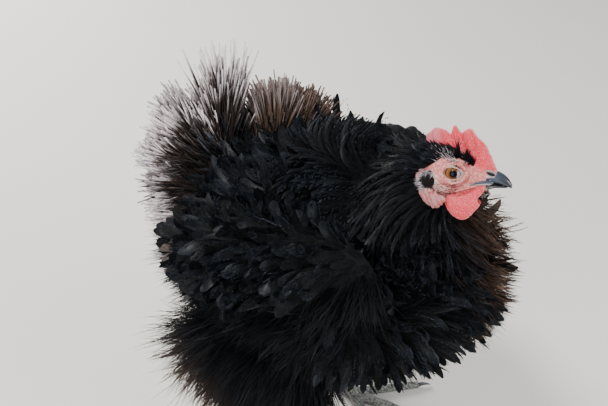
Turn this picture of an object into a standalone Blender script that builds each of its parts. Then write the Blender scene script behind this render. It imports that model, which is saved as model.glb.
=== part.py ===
"""A life-size frizzle-feathered hen, standing still with her head drawn in and tilted.

Metres, +Z up. The bill points to +X, the hen's right side is at -Y and the floor is at z = 0.
Feathers are solid vanes. Each feathered piece is one body: a core with its vanes rooted in it.
"""

import math
import random

import bmesh
import bpy
from mathutils import Euler, Matrix, Vector
from mathutils.bvhtree import BVHTree

MM = 0.001
GAP = 0.3 * MM
SIDES = (("left", 1), ("right", -1))
ROOT_DEPTH = 5 * MM
ROOT_PITCH = math.radians(32)

# Body: the feather tips reach BODY_OUTLINE, and the core lies half the coat's depth under them.
BODY_AT = Vector((-0.001, 0.0, 0.198))
BODY_OUTLINE = Vector((0.141, 0.108, 0.114))
BODY_PITCH = math.radians(10)
BODY_EGG = 0.10
SHOULDER_DROP = 0.26
CORE_DEPTH = 0.021
BODY_VANES = 176

# Neck: centre line, feather-tip radius and coat depth, from inside the body to the head.
NECK_LINE = (
    (Vector((0.036, 0.000, 0.205)), 0.090, 0.040),
    (Vector((0.052, 0.001, 0.252)), 0.072, 0.038),
    (Vector((0.064, 0.002, 0.284)), 0.046, 0.028),
    (Vector((0.070, 0.002, 0.304)), 0.023, 0.012),
)
NECK_CORE_SHARE = 0.5
NECK_VANES = 112

# Head: millimetres in the head's own frame, whose origin lies midway between the eyes.
HEAD_AT = Vector((0.0912, 0.0016, 0.3001))
HEAD_TURN = Euler((math.radians(-28.4), math.radians(-6.2), math.radians(7.1)))
SKULL_SQUARE = 2.2
EYE_AT = (-1.0, 8.9, -0.6)
EYE_RADIUS = 6.0
LID_RADIUS = 5.5
BILL_TIP = 35.2
EAR_AT = (-15.2, 14.6, -6.6)

# Each station across the head: how far forward, top, bottom, half width.
SKULL = (
    (-31.0, 6.0, -12.0, 8.0),
    (-26.0, 11.0, -16.5, 12.4),
    (-18.0, 14.4, -18.5, 14.2),
    (-8.0, 15.4, -18.2, 14.6),
    (2.0, 12.8, -15.6, 12.8),
    (10.0, 9.0, -13.4, 9.6),
    (19.5, 4.6, -10.6, 6.0),
)
BILL_UPPER = (
    (13.0, 5.0, -5.8, 5.6),
    (19.0, 4.6, -6.1, 5.5),
    (23.0, 3.4, -6.1, 4.9),
    (27.0, 2.3, -5.9, 3.9),
    (30.5, 0.7, -5.8, 2.8),
    (33.4, -1.8, -5.9, 1.7),
    (BILL_TIP, -4.2, -6.4, 0.7),
)
BILL_LOWER = (
    (13.0, -6.7, -10.6, 4.8),
    (19.0, -6.9, -10.4, 4.6),
    (24.0, -6.8, -9.6, 3.9),
    (29.0, -6.6, -8.6, 2.7),
    (32.6, -6.5, -7.4, 1.2),
)

# Comb: upper edge without its points, lower edge, half thickness, then each point.
COMB_REAR, COMB_FRONT = -22.6, 25.2
COMB_BLADE = ((-22.5, 18.5), (-17.0, 25.2), (-8.0, 23.4), (4.0, 24.6), (13.0, 18.0), (21.0, 9.4), (25.5, 3.4))
COMB_FOOT = ((-22.6, 16.2), (-15.0, 12.5), (-3.0, 11.5), (8.0, 5.0), (16.0, 3.0), (25.2, 1.8))
COMB_THICK = ((-22.6, 1.3), (-18.0, 2.6), (-4.0, 2.6), (10.0, 3.9), (20.0, 3.6), (25.2, 1.6))
COMB_POINTS = ((-17.5, 2.0, 2.6), (-5.4, 6.6, 2.1), (3.6, 4.6, 2.8), (11.0, 2.6, 2.0), (17.2, 1.8, 1.8))
COMB_LEAN = -1.2

# Legs: the hock hides in the thigh feathers; toes are name, length, root radius and angle.
HOCK = Vector((-0.030, 0.050, 0.098))
ANKLE = Vector((-0.004, 0.050, 0.017))
TOES = (
    ("outer", 62.0, 4.3, 38.0),
    ("middle", 72.0, 4.7, 2.0),
    ("inner", 54.0, 4.3, -36.0),
    ("hind", 27.0, 3.8, 172.0),
)
TOE_ROOT = 14.5
SHANK_RADIUS = 5.2
SCUTES = 7
CLAW_LENGTH = 12.0

# Wing: a flat lens on the side of the body with its front end at the wrist. Each row of
# feathers: angle round the lens, count, length, width, lift, curl, droop.
WING_AT = Vector((-0.004, 0.071, 0.238))
WING_SIZE = Vector((0.080, 0.021, 0.040))
WING_PITCH = math.radians(14)
WING_ROWS = (
    (-46, 7, 0.058, 0.0210, 7, 26, 24),
    (-20, 7, 0.046, 0.0200, 10, 34, 34),
    (6, 7, 0.037, 0.0180, 12, 46, 32),
    (34, 6, 0.033, 0.0170, 14, 58, 26),
    (64, 6, 0.030, 0.0170, 16, 64, 18),
)

# Tail: a small root, then tiers of count, sideways spread, rise, length, width, curl.
TAIL_AT = Vector((-0.100, 0.0, 0.238))
TAIL_SIZE = Vector((0.032, 0.032, 0.032))
TAIL_TIERS = (
    (7, 58, 62, 0.066, 0.0190, -18),
    (6, 66, 88, 0.050, 0.0180, 34),
    (6, 74, 26, 0.044, 0.0170, 40),
)

THIGH_AT = Vector((-0.026, 0.056, 0.128))
THIGH_SIZE = Vector((0.060, 0.034, 0.048))
THIGH_TURN = math.radians(18)
THIGH_VANES = 34

# The point below the wrist that the breast feathers spread from.
ARMPIT = Vector((0.048, 0.098, 0.205))

BLACK = (0.012, 0.013, 0.017)
RED = (0.62, 0.12, 0.14)
FACE_PINK = (0.55, 0.30, 0.29)
HORN = (0.10, 0.11, 0.13)
SLATE = (0.17, 0.19, 0.20)
AMBER = (0.42, 0.20, 0.05)


def clear_scene():
    """Removes every object that the scene holds."""
    for old in list(bpy.data.objects):
        bpy.data.objects.remove(old, do_unlink=True)


def paint(name, colour, roughness):
    """A plain Principled material of that colour."""
    material = bpy.data.materials.new(name)
    material.use_nodes = True
    shader = material.node_tree.nodes["Principled BSDF"]
    shader.inputs["Base Color"].default_value = (*colour, 1.0)
    shader.inputs["Roughness"].default_value = roughness
    shader.inputs["Metallic"].default_value = 0.0
    return material


def mix(a, b, share):
    """The value that lies that share of the way from a to b."""
    return a + (b - a) * share


def smooth_step(value):
    """0 below 0, 1 above 1 and an even S-curve between."""
    value = max(0.0, min(1.0, value))
    return value * value * (3 - 2 * value)


def curve_value(knots, at):
    """Reads a smooth curve through (position, value) knots."""
    at = max(knots[0][0], min(knots[-1][0], at))
    for (x0, y0), (x1, y1) in zip(knots, knots[1:]):
        if at <= x1:
            return mix(y0, y1, smooth_step((at - x0) / (x1 - x0)))
    return knots[-1][1]


def object_from(name, bm, material=None):
    """Turns a bmesh into an object whose faces point outwards."""
    bmesh.ops.recalc_face_normals(bm, faces=bm.faces)
    mesh = bpy.data.meshes.new(name)
    bm.to_mesh(mesh)
    bm.free()
    made = bpy.data.objects.new(name, mesh)
    bpy.context.scene.collection.objects.link(made)
    if material:
        made.data.materials.append(material)
    return made


def loft(rings, middles=True):
    """A closed bmesh through rings of equal count; middles draws its ends to a middle point."""
    bm = bmesh.new()
    loops = [[bm.verts.new(point) for point in ring] for ring in rings]
    count = len(loops[0])
    for low, high in zip(loops, loops[1:]):
        for i in range(count):
            j = (i + 1) % count
            bm.faces.new((low[i], low[j], high[j], high[i]))
    for loop in (loops[0], loops[-1]):
        if middles:
            middle = bm.verts.new(sum((v.co for v in loop), Vector()) / count)
            for i in range(count):
                bm.faces.new((loop[i], loop[(i + 1) % count], middle))
        else:
            bm.faces.new(loop)
    return bm


def oval_ring(centre, side, up, half_width, half_up, half_down, count, square=2.0):
    """Points of a rounded ring in the plane of side and up."""
    points = []
    for i in range(count):
        angle = 2 * math.pi * i / count
        c, s = math.cos(angle), math.sin(angle)
        across = half_width * math.copysign(abs(c) ** (2 / square), c)
        high = (half_up if s > 0 else half_down) * math.copysign(abs(s) ** (2 / square), s)
        points.append(centre + side * across + up * high)
    return points


def ellipsoid(name, centre, size, turn=None, segments=20, rings=12, material=None):
    """An ellipsoid with those half sizes."""
    bm = bmesh.new()
    bmesh.ops.create_uvsphere(bm, u_segments=segments, v_segments=rings, radius=1.0)
    bm.transform(Matrix.Translation(centre) @ (turn or Matrix.Identity(4)) @ Matrix.Diagonal((*size, 1.0)))
    return object_from(name, bm, material)


def tube(name, line, radii, sides=10, material=None, middles=False, facing=None):
    """A round tube along a line; facing keeps all its rings square to one way."""
    rings = []
    for i, point in enumerate(line):
        ahead = facing or line[min(i + 1, len(line) - 1)] - line[max(i - 1, 0)]
        side = ahead.cross(Vector((0, 0, 1)))
        if side.length < 1e-9:
            side = Vector((0, 1, 0))
        side.normalize()
        up = side.cross(ahead).normalized()
        rings.append(oval_ring(point, side, up, radii[i], radii[i], radii[i], sides))
    return object_from(name, loft(rings, middles), material)


def volume_of(verts):
    """The box volume round some vertices."""
    sides = [max(v.co[k] for v in verts) - min(v.co[k] for v in verts) for k in range(3)]
    return sides[0] * sides[1] * sides[2]


def keep_largest(mesh):
    """Deletes all but the largest closed surface of a mesh and splits its faces into triangles."""
    bm = bmesh.new()
    bm.from_mesh(mesh)
    left, groups = set(bm.verts), []
    while left:
        seed = left.pop()
        group, rim = {seed}, [seed]
        while rim:
            for link in rim.pop().link_edges:
                for vert in link.verts:
                    if vert not in group:
                        group.add(vert)
                        rim.append(vert)
        left -= group
        groups.append(group)
    groups.sort(key=volume_of, reverse=True)
    bmesh.ops.delete(bm, geom=[v for group in groups[1:] for v in group], context="VERTS")
    bmesh.ops.triangulate(bm, faces=bm.faces)
    bm.to_mesh(mesh)
    bm.free()


def boolean(target, others, operation, solver="EXACT"):
    """Joins or cuts the target by a collection of objects, and removes them."""
    group = bpy.data.collections.new("tools")
    for other in others:
        group.objects.link(other)
    modifier = target.modifiers.new("tools", "BOOLEAN")
    modifier.operation = operation
    modifier.operand_type = "COLLECTION"
    modifier.collection = group
    modifier.solver = solver
    bpy.context.view_layer.update()
    graph = bpy.context.evaluated_depsgraph_get()
    mesh = bpy.data.meshes.new_from_object(target.evaluated_get(graph))
    target.modifiers.remove(modifier)
    target.data = mesh
    for other in others:
        bpy.data.objects.remove(other, do_unlink=True)
    bpy.data.collections.remove(group)
    keep_largest(target.data)
    return target


def copy_grown(obj):
    """A copy of a piece with its surface moved out by the gap."""
    twin = obj.copy()
    twin.data = obj.data.copy()
    bpy.context.scene.collection.objects.link(twin)
    normals = [v.normal.copy() for v in twin.data.vertices]
    for vert, normal in zip(twin.data.vertices, normals):
        vert.co += normal * GAP
    return twin


def rest_on_floor(obj):
    """Cuts a piece off flat at the floor."""
    bm = bmesh.new()
    bm.from_mesh(obj.data)
    geom = [*bm.verts, *bm.edges, *bm.faces]
    cut = bmesh.ops.bisect_plane(bm, geom=geom, plane_co=(0, 0, 0), plane_no=(0, 0, -1), clear_outer=True)
    edges = [e for e in cut["geom_cut"] if isinstance(e, bmesh.types.BMEdge)]
    bmesh.ops.holes_fill(bm, edges=edges)
    bmesh.ops.recalc_face_normals(bm, faces=bm.faces)
    bm.to_mesh(obj.data)
    bm.free()
    keep_largest(obj.data)
    return obj


def body_solid(name, depth, material=None, segments=20, stations=12):
    """The egg of the body, that deep under the feather tips, breast end raised."""
    size = [v - depth for v in BODY_OUTLINE]
    tilt = Matrix.Rotation(-BODY_PITCH, 3, "Y")
    ahead, up, side = tilt @ Vector((1, 0, 0)), tilt @ Vector((0, 0, 1)), Vector((0, 1, 0))
    rings = []
    for i in range(1, stations):
        along = -math.cos(math.pi * i / stations)
        swell = math.sqrt(1 - along * along) * (1 + BODY_EGG * along)
        shoulder = 1 - SHOULDER_DROP * smooth_step((along - 0.05) / 0.6)
        high = size[2] * swell
        centre = BODY_AT + ahead * size[0] * along
        rings.append(oval_ring(centre, side, up, size[1] * swell, high * shoulder, high, segments, 2.15))
    return object_from(name, loft(rings), material)


def neck_solid(name, share, material=None, segments=14, steps=5):
    """The cone of the neck, less that share of its coat's depth."""
    knots = [i / (len(NECK_LINE) - 1) for i in range(len(NECK_LINE))]
    rings = []
    for k in range(steps + 1):
        t = k / steps
        at = Vector([curve_value([(a, p[j]) for a, (p, _, _) in zip(knots, NECK_LINE)], t) for j in range(3)])
        radius = curve_value([(a, r - share * d) for a, (_, r, d) in zip(knots, NECK_LINE)], t)
        axis = Vector((mix(0.30, 0.55, t), 0, 1)).normalized()
        side = Vector((0, 1, 0))
        rings.append(oval_ring(at, side, axis.cross(side), radius, radius, radius, segments))
    return object_from(name, loft(rings), material)


def in_head(x, y, z):
    """A point given in the head's millimetres, placed in the scene."""
    return HEAD_AT + HEAD_TURN.to_matrix() @ (Vector((x, y, z)) * MM)


def head_loft(name, stations, count, square=2.0, grow=0.0, material=None):
    """A solid through stations across the head, every wall moved out by grow millimetres."""
    turn = HEAD_TURN.to_matrix()
    side, up = turn @ Vector((0, 1, 0)), turn @ Vector((0, 0, 1))
    rings = []
    for i, (x, top, bottom, half) in enumerate(stations):
        x += grow * ((i == len(stations) - 1) - (i == 0))
        high = ((top - bottom) / 2 + grow) * MM
        centre = in_head(x, 0, (top + bottom) / 2)
        rings.append(oval_ring(centre, side, up, (half + grow) * MM, high, high, count, square))
    return object_from(name, loft(rings), material)


def lid_ring(way):
    """The pair of lids as one almond ring round an eye."""
    x, y, z = EYE_AT
    around, across = 14, 4
    bm = bmesh.new()
    loops = []
    for i in range(around):
        angle = 2 * math.pi * i / around
        c, s = math.cos(angle), math.sin(angle)
        loop = []
        for k in range(across):
            turn = 2 * math.pi * k / across
            reach = LID_RADIUS + 1.5 * math.cos(turn)
            out = y + 3.9 - 0.9 * abs(c) + 1.25 * math.sin(turn)
            loop.append(bm.verts.new(in_head(x + reach * 1.08 * c, way * out, z + reach * 0.94 * s)))
        loops.append(loop)
    for i in range(around):
        low, high = loops[i], loops[(i + 1) % around]
        for k in range(across):
            j = (k + 1) % across
            bm.faces.new((low[k], low[j], high[j], high[k]))
    return object_from("lids", bm)


def head_flesh(material):
    """The head with its lids, brows, ear cups and gape."""
    turn = HEAD_TURN.to_matrix().to_4x4()
    head = head_loft("head", SKULL, 16, SKULL_SQUARE, material=material)
    x, y, z = EYE_AT
    joined, cut = [], []
    for _, way in SIDES:
        joined.append(lid_ring(way))
        brow = in_head(x + 1.0, way * (y + 1.7), z + 8.2)
        joined.append(ellipsoid("brow", brow, Vector((8.2, 2.9, 2.6)) * MM, turn, 8, 6))
        corner = [in_head(16.0, way * 6.2, -7.0), in_head(9.0, way * 9.2, -9.2), in_head(1.0, way * 11.6, -12.4)]
        joined.append(tube("gape", corner, [1.3 * MM, 1.9 * MM, 1.0 * MM], 5, middles=True))
        socket = Vector((1, 1, 1)) * (EYE_RADIUS * MM + GAP)
        cut.append(ellipsoid("socket", in_head(x, way * y, z), socket, turn, 12, 8))
        ear = in_head(EAR_AT[0], way * EAR_AT[1], EAR_AT[2])
        cut.append(ellipsoid("ear_cup", ear, Vector((3.0, 3.4, 3.4)) * MM, turn, 8, 6))
    cut.append(head_loft("upper_seat", BILL_UPPER, 14, grow=0.3))
    cut.append(head_loft("lower_seat", BILL_LOWER, 12, grow=0.3))
    boolean(head, joined, "UNION")
    for tool in cut:
        boolean(head, [tool], "DIFFERENCE")
    return head


def comb_top(x):
    """Upper edge of the comb, in the head's millimetres, with its points and rear lobe."""
    bumps = (high * math.exp(-(((x - at) / wide) ** 2)) for at, high, wide in COMB_POINTS)
    return curve_value(COMB_BLADE, x) + sum(bumps)


def comb(material):
    """The single comb: a thick low blade with a few short points."""
    section = ((-1.0, 0.0), (-0.85, 0.45), (-0.5, 0.88), (0.0, 1.0), (0.5, 0.88), (0.85, 0.45), (1.0, 0.0))
    rings, steps = [], 21
    for i in range(steps + 1):
        x = mix(COMB_REAR, COMB_FRONT, i / steps)
        top, foot, thick = comb_top(x), curve_value(COMB_FOOT, x), curve_value(COMB_THICK, x)
        rings.append([
            in_head(x, across * thick * mix(1.0, 0.62, high) + COMB_LEAN * high, mix(foot, top, high))
            for across, high in section
        ])
    blade = object_from("comb", loft(rings), material)
    seats = [head_loft("seat", SKULL, 16, SKULL_SQUARE, 0.3), head_loft("seat", BILL_UPPER, 14, grow=0.3)]
    for seat in seats:
        boolean(blade, [seat], "DIFFERENCE")
    return blade


def bill(material):
    """Both halves of the bill, the upper one with its nostrils."""
    upper = head_loft("bill_upper", BILL_UPPER, 14, material=material)
    tilt = HEAD_TURN.to_matrix().to_4x4() @ Matrix.Rotation(math.radians(12), 4, "Y")
    for _, way in SIDES:
        place = in_head(22.4, way * 5.0, 0.4)
        slit = ellipsoid("nostril", place, Vector((2.4, 1.6, 0.8)) * MM, tilt, 10, 6)
        boolean(upper, [slit], "DIFFERENCE")
    return upper, head_loft("bill_lower", BILL_LOWER, 12, material=material)


def wattle(name, way, material):
    """A thin round lobe hung from the jaw."""
    rings, steps = [], 10
    for i in range(1, steps):
        t = i / steps
        reach = math.sin(math.pi * t)
        z = mix(-9.4, -29.6, (1 - math.cos(math.pi * t)) / 2)
        wide = 10.6 * reach ** 0.75
        middle = mix(9.5, 7.0, t)
        out = mix(5.6, 9.2, smooth_step(1.5 * t))
        ring = []
        for k in range(8):
            turn = 2 * math.pi * k / 8
            across = out + 1.35 * reach * math.sin(turn)
            ring.append(in_head(middle + wide * math.cos(turn), way * across, z + 0.6 * math.cos(turn)))
        rings.append(ring)
    return object_from(name, loft(rings), material)


def earlobe(name, way, material):
    """A broad lobe under the ear with upright folds."""
    rings, steps = [], 14
    for i in range(1, steps):
        t = i / steps
        round_ = math.sin(math.pi * t)
        tall = 6.4 * round_ ** 0.6
        thick = (2.5 + 0.45 * math.cos(2 * math.pi * 4 * t)) * round_ ** 0.5
        x, level = mix(-21.5, -2.2, t), mix(-16.2, -18.4, t)
        ring = []
        for k in range(6):
            turn = 2 * math.pi * k / 6
            ring.append(in_head(x, way * (12.9 + thick * math.cos(turn)), level + tall * math.sin(turn)))
        rings.append(ring)
    return object_from(name, loft(rings), material)


def shank(name, way, material):
    """The scaly shank, its front plates stepped like tiles."""
    top, low = Vector((HOCK.x, way * HOCK.y, HOCK.z)), Vector((ANKLE.x, way * ANKLE.y, ANKLE.z))
    ahead = (low - top).normalized()
    front = (Vector((1, 0, 0)) - ahead * ahead.x).normalized()
    side = ahead.cross(front)
    rings, steps = [], 2 * SCUTES
    for i in range(steps + 1):
        girth = curve_value(((0, 6.6), (3, SHANK_RADIUS), (11, SHANK_RADIUS * 0.92), (14, 5.6)), i) * MM
        step = 0.7 * MM if i % 2 else 0.0
        rings.append(oval_ring(top.lerp(low, i / steps), side, front, girth * 0.86, girth + step, girth, 8))
    return object_from(name, loft(rings, False), material)


def toe_part(name, hub, out, length, radius, start, end, steps, material=None):
    """A stretch of one toe, from start to end in millimetres from the hub, with its pads."""
    line, radii = [], []
    for i in range(steps + 1):
        reach = mix(start, end, i / steps)
        t = reach / length
        thick = (mix(radius, radius * 0.66, t) + 0.45 * math.sin(math.pi * 3 * t) ** 2) * MM
        line.append(hub + out * reach * MM + Vector((0, 0, thick * 0.88)))
        radii.append(thick)
    return tube(name, line, radii, 6, material, facing=out), line[-1], radii[-1]


def claw(name, start, out, radius, material):
    """A curved tapering claw that meets the toe's flat end squarely."""
    line, radii = [start, start + out * 0.5 * MM], [radius * 0.84] * 2
    steps = 4
    for i in range(1, steps + 1):
        t = i / steps
        high = 0.6 * MM * math.sin(math.pi * t) - 1.6 * MM * t * t
        line.append(start + out * CLAW_LENGTH * MM * t + Vector((0, 0, high)))
        radii.append(mix(radius * 0.84, 0.35 * MM, t ** 1.2))
    return tube(name, line, radii, 6, material)


def foot(side, way, horn, material):
    """The ball of the foot, four toes that rest on the floor, and a claw on each."""
    ahead = (HOCK - ANKLE).normalized()
    top = Vector((ANKLE.x, way * ANKLE.y, ANKLE.z)) - Vector((ahead.x, way * ahead.y, ahead.z)) * GAP
    line = [top - ahead * drop * MM for drop in (0.0, 5.0, 10.0, 15.0)]
    ball = tube(f"foot_{side}", line, [5.2 * MM, 6.2 * MM, 6.8 * MM, 5.6 * MM], 8, material)
    hub = Vector((top.x + 3 * MM, top.y, 0))
    pieces, stubs = [ball], []
    for toe, length, radius, angle in TOES:
        turn = math.radians(angle)
        out = Vector((math.cos(turn), way * math.sin(turn), 0))
        stubs.append(toe_part("stub", hub, out, length, radius, 0.0, TOE_ROOT, 2)[0])
        start = TOE_ROOT + GAP / MM
        piece, tip, tip_radius = toe_part(f"toe_{toe}_{side}", hub, out, length, radius, start, length, 5, material)
        pieces.append(rest_on_floor(piece))
        pieces.append(claw(f"claw_{toe}_{side}", tip + out * GAP, out, tip_radius, horn))
    rest_on_floor(boolean(ball, stubs, "UNION"))
    return pieces


def spread_directions(count, seed):
    """Evenly spread unit vectors, slightly shaken."""
    draw = random.Random(seed)
    golden = math.pi * (3 - math.sqrt(5))
    for i in range(count):
        z = 1 - 2 * (i + 0.5) / count
        across = math.sqrt(1 - z * z)
        angle = golden * i + draw.uniform(-0.15, 0.15)
        yield Vector((across * math.cos(angle), across * math.sin(angle), z))


def seen_from_outside(tree, centre, ray):
    """Where a line drawn in from far along the ray first meets the surface, and its normal."""
    root, normal, _, _ = tree.ray_cast(centre + ray * 0.4, -ray)
    return root, normal


def along_skin(way, normal):
    """A direction turned into the surface, one unit long."""
    return (way - normal * way.dot(normal)).normalized()


def tree_of(obj):
    """A search tree of an object's faces."""
    mesh = obj.data
    return BVHTree.FromPolygons([v.co for v in mesh.vertices], [tuple(p.vertices) for p in mesh.polygons])


# Share of the full width at each ring from root to tip; a vane ends in one point.
PETAL = (0.45, 0.86, 1.0, 0.78)
COVERT = (0.60, 1.0, 0.84)
LANCE = (0.70, 1.0, 0.64)
BROAD = (0.50, 0.92, 1.0, 0.90)
LOCK = (0.80, 1.0, 0.80, 0.45)


class Coat:
    """The vanes of every piece, each clear of the others and rooted in its own core."""

    def __init__(self, cores, draw):
        self.trees = {name: tree_of(core) for name, core in cores.items()}
        self.vanes = {name: [] for name in cores}
        self.objects = {name: [] for name in cores}
        self.draw = draw

    @staticmethod
    def rings(root, lie, normal, length, width, thick, lift, curl, profile, twist, sink=ROOT_DEPTH, grow=0.0):
        """Rings of three points, ridge up, of a vane that leaves the surface and turns outwards."""
        side = normal.cross(lie).normalized()
        point = root - (lie * math.cos(lift + ROOT_PITCH) + normal * math.sin(lift + ROOT_PITCH)) * sink
        step = (length + sink) / len(profile)
        rings = []
        for i, share in enumerate((*profile, 0.0)):
            t = i / len(profile)
            angle = lift + curl * t ** 1.3
            ahead = lie * math.cos(angle) + normal * math.sin(angle)
            if i:
                point = point + ahead * step
            spin = Matrix.Rotation(twist * t, 3, ahead)
            across, high = spin @ side, spin @ ahead.cross(side)
            half = width * share / 2 + grow
            deep = mix(thick, 0.6 * thick, t)
            rings.append([
                point - across * half - high * grow,
                point + across * half - high * grow,
                point + high * ((deep if share else 0.0) + grow),
            ])
        return rings

    @staticmethod
    def walls(rings):
        """A search tree of a vane's walls, and the corners of its box."""
        points = [p for ring in rings for p in ring]
        faces = []
        for i in range(len(rings) - 1):
            for k in range(3):
                a, b = 3 * i + k, 3 * i + (k + 1) % 3
                faces += [(a, b, b + 3), (a, b + 3, a + 3)]
        low = Vector([min(p[k] for p in points) for k in range(3)])
        high = Vector([max(p[k] for p in points) for k in range(3)])
        return BVHTree.FromPolygons(points, faces), low, high

    def clear(self, name, whole, outer, alone):
        """Whether a grown vane misses other pieces, its own core past its root, and, if alone, its like."""
        for other, tree in self.trees.items():
            if (outer if other == name else whole)[0].overlap(tree):
                return False
        for other, vanes in self.vanes.items():
            if other == name and not alone:
                continue
            tree, low, high = outer if other == name else whole
            for there, there_low, there_high in vanes:
                apart = any(low[k] > there_high[k] or high[k] < there_low[k] for k in range(3))
                if not apart and tree.overlap(there):
                    return False
        return True

    def grow(self, name, root, lie, normal, reach=0.35, tries=9, **form):
        """Sets one vane on a core; it is turned, raised and shortened until it is clear."""
        for attempt in range(tries):
            ease = attempt / tries
            draw = self.draw
            turned = Matrix.Rotation(draw.uniform(-0.5, 0.5) * ease, 3, normal) @ lie
            shape = dict(form)
            shape["length"] *= (1 - 0.40 * ease) * draw.uniform(0.94, 1.06)
            shape["lift"] += reach * ease
            shape["curl"] *= draw.uniform(0.85, 1.15) * (1 - 0.5 * ease)
            shape["twist"] = draw.uniform(-0.3, 0.3)
            wide = self.rings(root, turned, normal, grow=0.5 * GAP, **shape)
            outer = self.walls(wide[1:])
            if not self.clear(name, self.walls(wide), outer, ease < 0.5):
                continue
            self.vanes[name].append(outer)
            bm = loft(self.rings(root, turned, normal, **shape), middles=False)
            bmesh.ops.remove_doubles(bm, verts=bm.verts, dist=0.002 * MM)
            bmesh.ops.triangulate(bm, faces=bm.faces)
            self.objects[name].append(object_from("vane", bm))
            return

    def join(self, node):
        """Fuses a piece's vanes with its core."""
        if self.objects[node.name]:
            boolean(node, self.objects[node.name], "UNION", "MANIFOLD")


def body_lie(point, normal):
    """Which way a body feather points along the skin at a place."""
    way = 1 if point.y > 0 else -1
    armpit = Vector((ARMPIT.x, way * ARMPIT.y, ARMPIT.z))
    fan = (point - armpit).normalized() + Vector((0, 0, -0.35))
    back = Vector((-1, 0, -0.45))
    front = smooth_step((point.x - ARMPIT.x + 0.035) / 0.06)
    return along_skin(back.lerp(fan, front), normal)


def body_vanes(coat):
    """Curled petals all over the body, flatter under it and at its rear."""
    for ray in spread_directions(BODY_VANES, 11):
        root, normal = seen_from_outside(coat.trees["torso"], BODY_AT, ray)
        if root is None:
            continue
        low = smooth_step((0.15 - root.z) / 0.06)
        rear = smooth_step((-0.06 - root.x) / 0.05)
        calm = max(low, rear)
        coat.grow(
            "torso", root, body_lie(root, normal), normal,
            length=mix(0.036, 0.041, calm), width=0.0175, thick=1.3 * MM,
            lift=math.radians(14), curl=math.radians(mix(68, 42, calm)), profile=PETAL,
        )


def neck_vanes(coat):
    """Narrow hackles that sweep back and down from the head and turn out over the shoulders."""
    centre, crown = NECK_LINE[1][0], in_head(-8, 0, 10)
    for ray in spread_directions(NECK_VANES, 23):
        root, normal = seen_from_outside(coat.trees["neck"], centre, ray)
        if root is None or root.z < centre.z - 0.03:
            continue
        away = (root - crown).normalized() + Vector((-0.15, 0, -0.25))
        far = smooth_step((root - crown).length / 0.075)
        coat.grow(
            "neck", root, along_skin(away, normal), normal, reach=1.0, tries=12,
            length=mix(0.025, 0.042, far), width=mix(0.009, 0.0145, far), thick=1.2 * MM,
            lift=math.radians(mix(14, 22, far)), curl=math.radians(mix(20, 44, far)), profile=LANCE,
        )


def wing_vanes(coat, side, way):
    """Flight feathers and their coverts in rows, each row over the one below."""
    name = f"wing_{side}"
    tilt = Matrix.Rotation(-WING_PITCH, 3, "Y")
    for angle, count, length, width, lift, curl, droop in WING_ROWS:
        out = tilt @ Vector((0, way * math.cos(math.radians(angle)), math.sin(math.radians(angle))))
        for i in range(count):
            along = tilt @ Vector((mix(-0.84, 0.86, (i + 0.5) / count) * WING_SIZE.x, 0, 0))
            start = Vector((WING_AT.x, way * WING_AT.y, WING_AT.z)) + along
            root, normal = seen_from_outside(coat.trees[name], start, out)
            if root is None:
                continue
            point = Vector((-math.cos(math.radians(droop)), 0, -math.sin(math.radians(droop))))
            coat.grow(
                name, root, along_skin(point, normal), normal, length=length, width=width,
                thick=1.2 * MM, lift=math.radians(lift), curl=math.radians(curl),
                profile=BROAD if angle < 0 else COVERT, sink=4 * MM,
            )


def tail_vanes(coat):
    """The short tail: a fan of quills with curled coverts behind and below them."""
    for tier, (count, spread, rise, length, width, curl) in enumerate(TAIL_TIERS):
        for i in range(count):
            yaw = math.radians(mix(-spread, spread, (i + 0.5) / count))
            lean = math.radians(rise) - 0.25 * abs(yaw)
            point = Vector((-math.cos(yaw) * math.cos(lean), math.sin(yaw), math.sin(lean))).normalized()
            root, normal = seen_from_outside(coat.trees["tail"], TAIL_AT, point)
            if root is None:
                continue
            face = along_skin(Vector((-1, 0, 0.4)), point)
            coat.grow(
                "tail", root, point, face, length=length, width=width, thick=1.3 * MM,
                lift=math.radians(4 * tier), curl=math.radians(curl), profile=BROAD if tier == 0 else PETAL,
            )


def thigh_vanes(coat, side, way):
    """Soft locks that hang from the thigh, down and back."""
    centre = Vector((THIGH_AT.x, way * THIGH_AT.y, THIGH_AT.z))
    for ray in spread_directions(THIGH_VANES, 31):
        root, normal = seen_from_outside(coat.trees[f"thigh_{side}"], centre, ray)
        if root is None or ray.y * way < -0.3:
            continue
        down = Vector((-0.55, 0.1 * way, -1.0))
        coat.grow(
            f"thigh_{side}", root, along_skin(down, normal), normal, length=0.038, width=0.017,
            thick=1.3 * MM, lift=math.radians(22), curl=math.radians(18), profile=LOCK,
        )


def centre_on_floor(pieces):
    """Moves the whole hen so that the middle of her box stands over the origin."""
    points = [v.co for piece in pieces for v in piece.data.vertices]
    middle = [(min(p[k] for p in points) + max(p[k] for p in points)) / 2 for k in range(2)]
    shift = Matrix.Translation((-middle[0], -middle[1], 0))
    for piece in pieces:
        piece.data.transform(shift)


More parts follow.
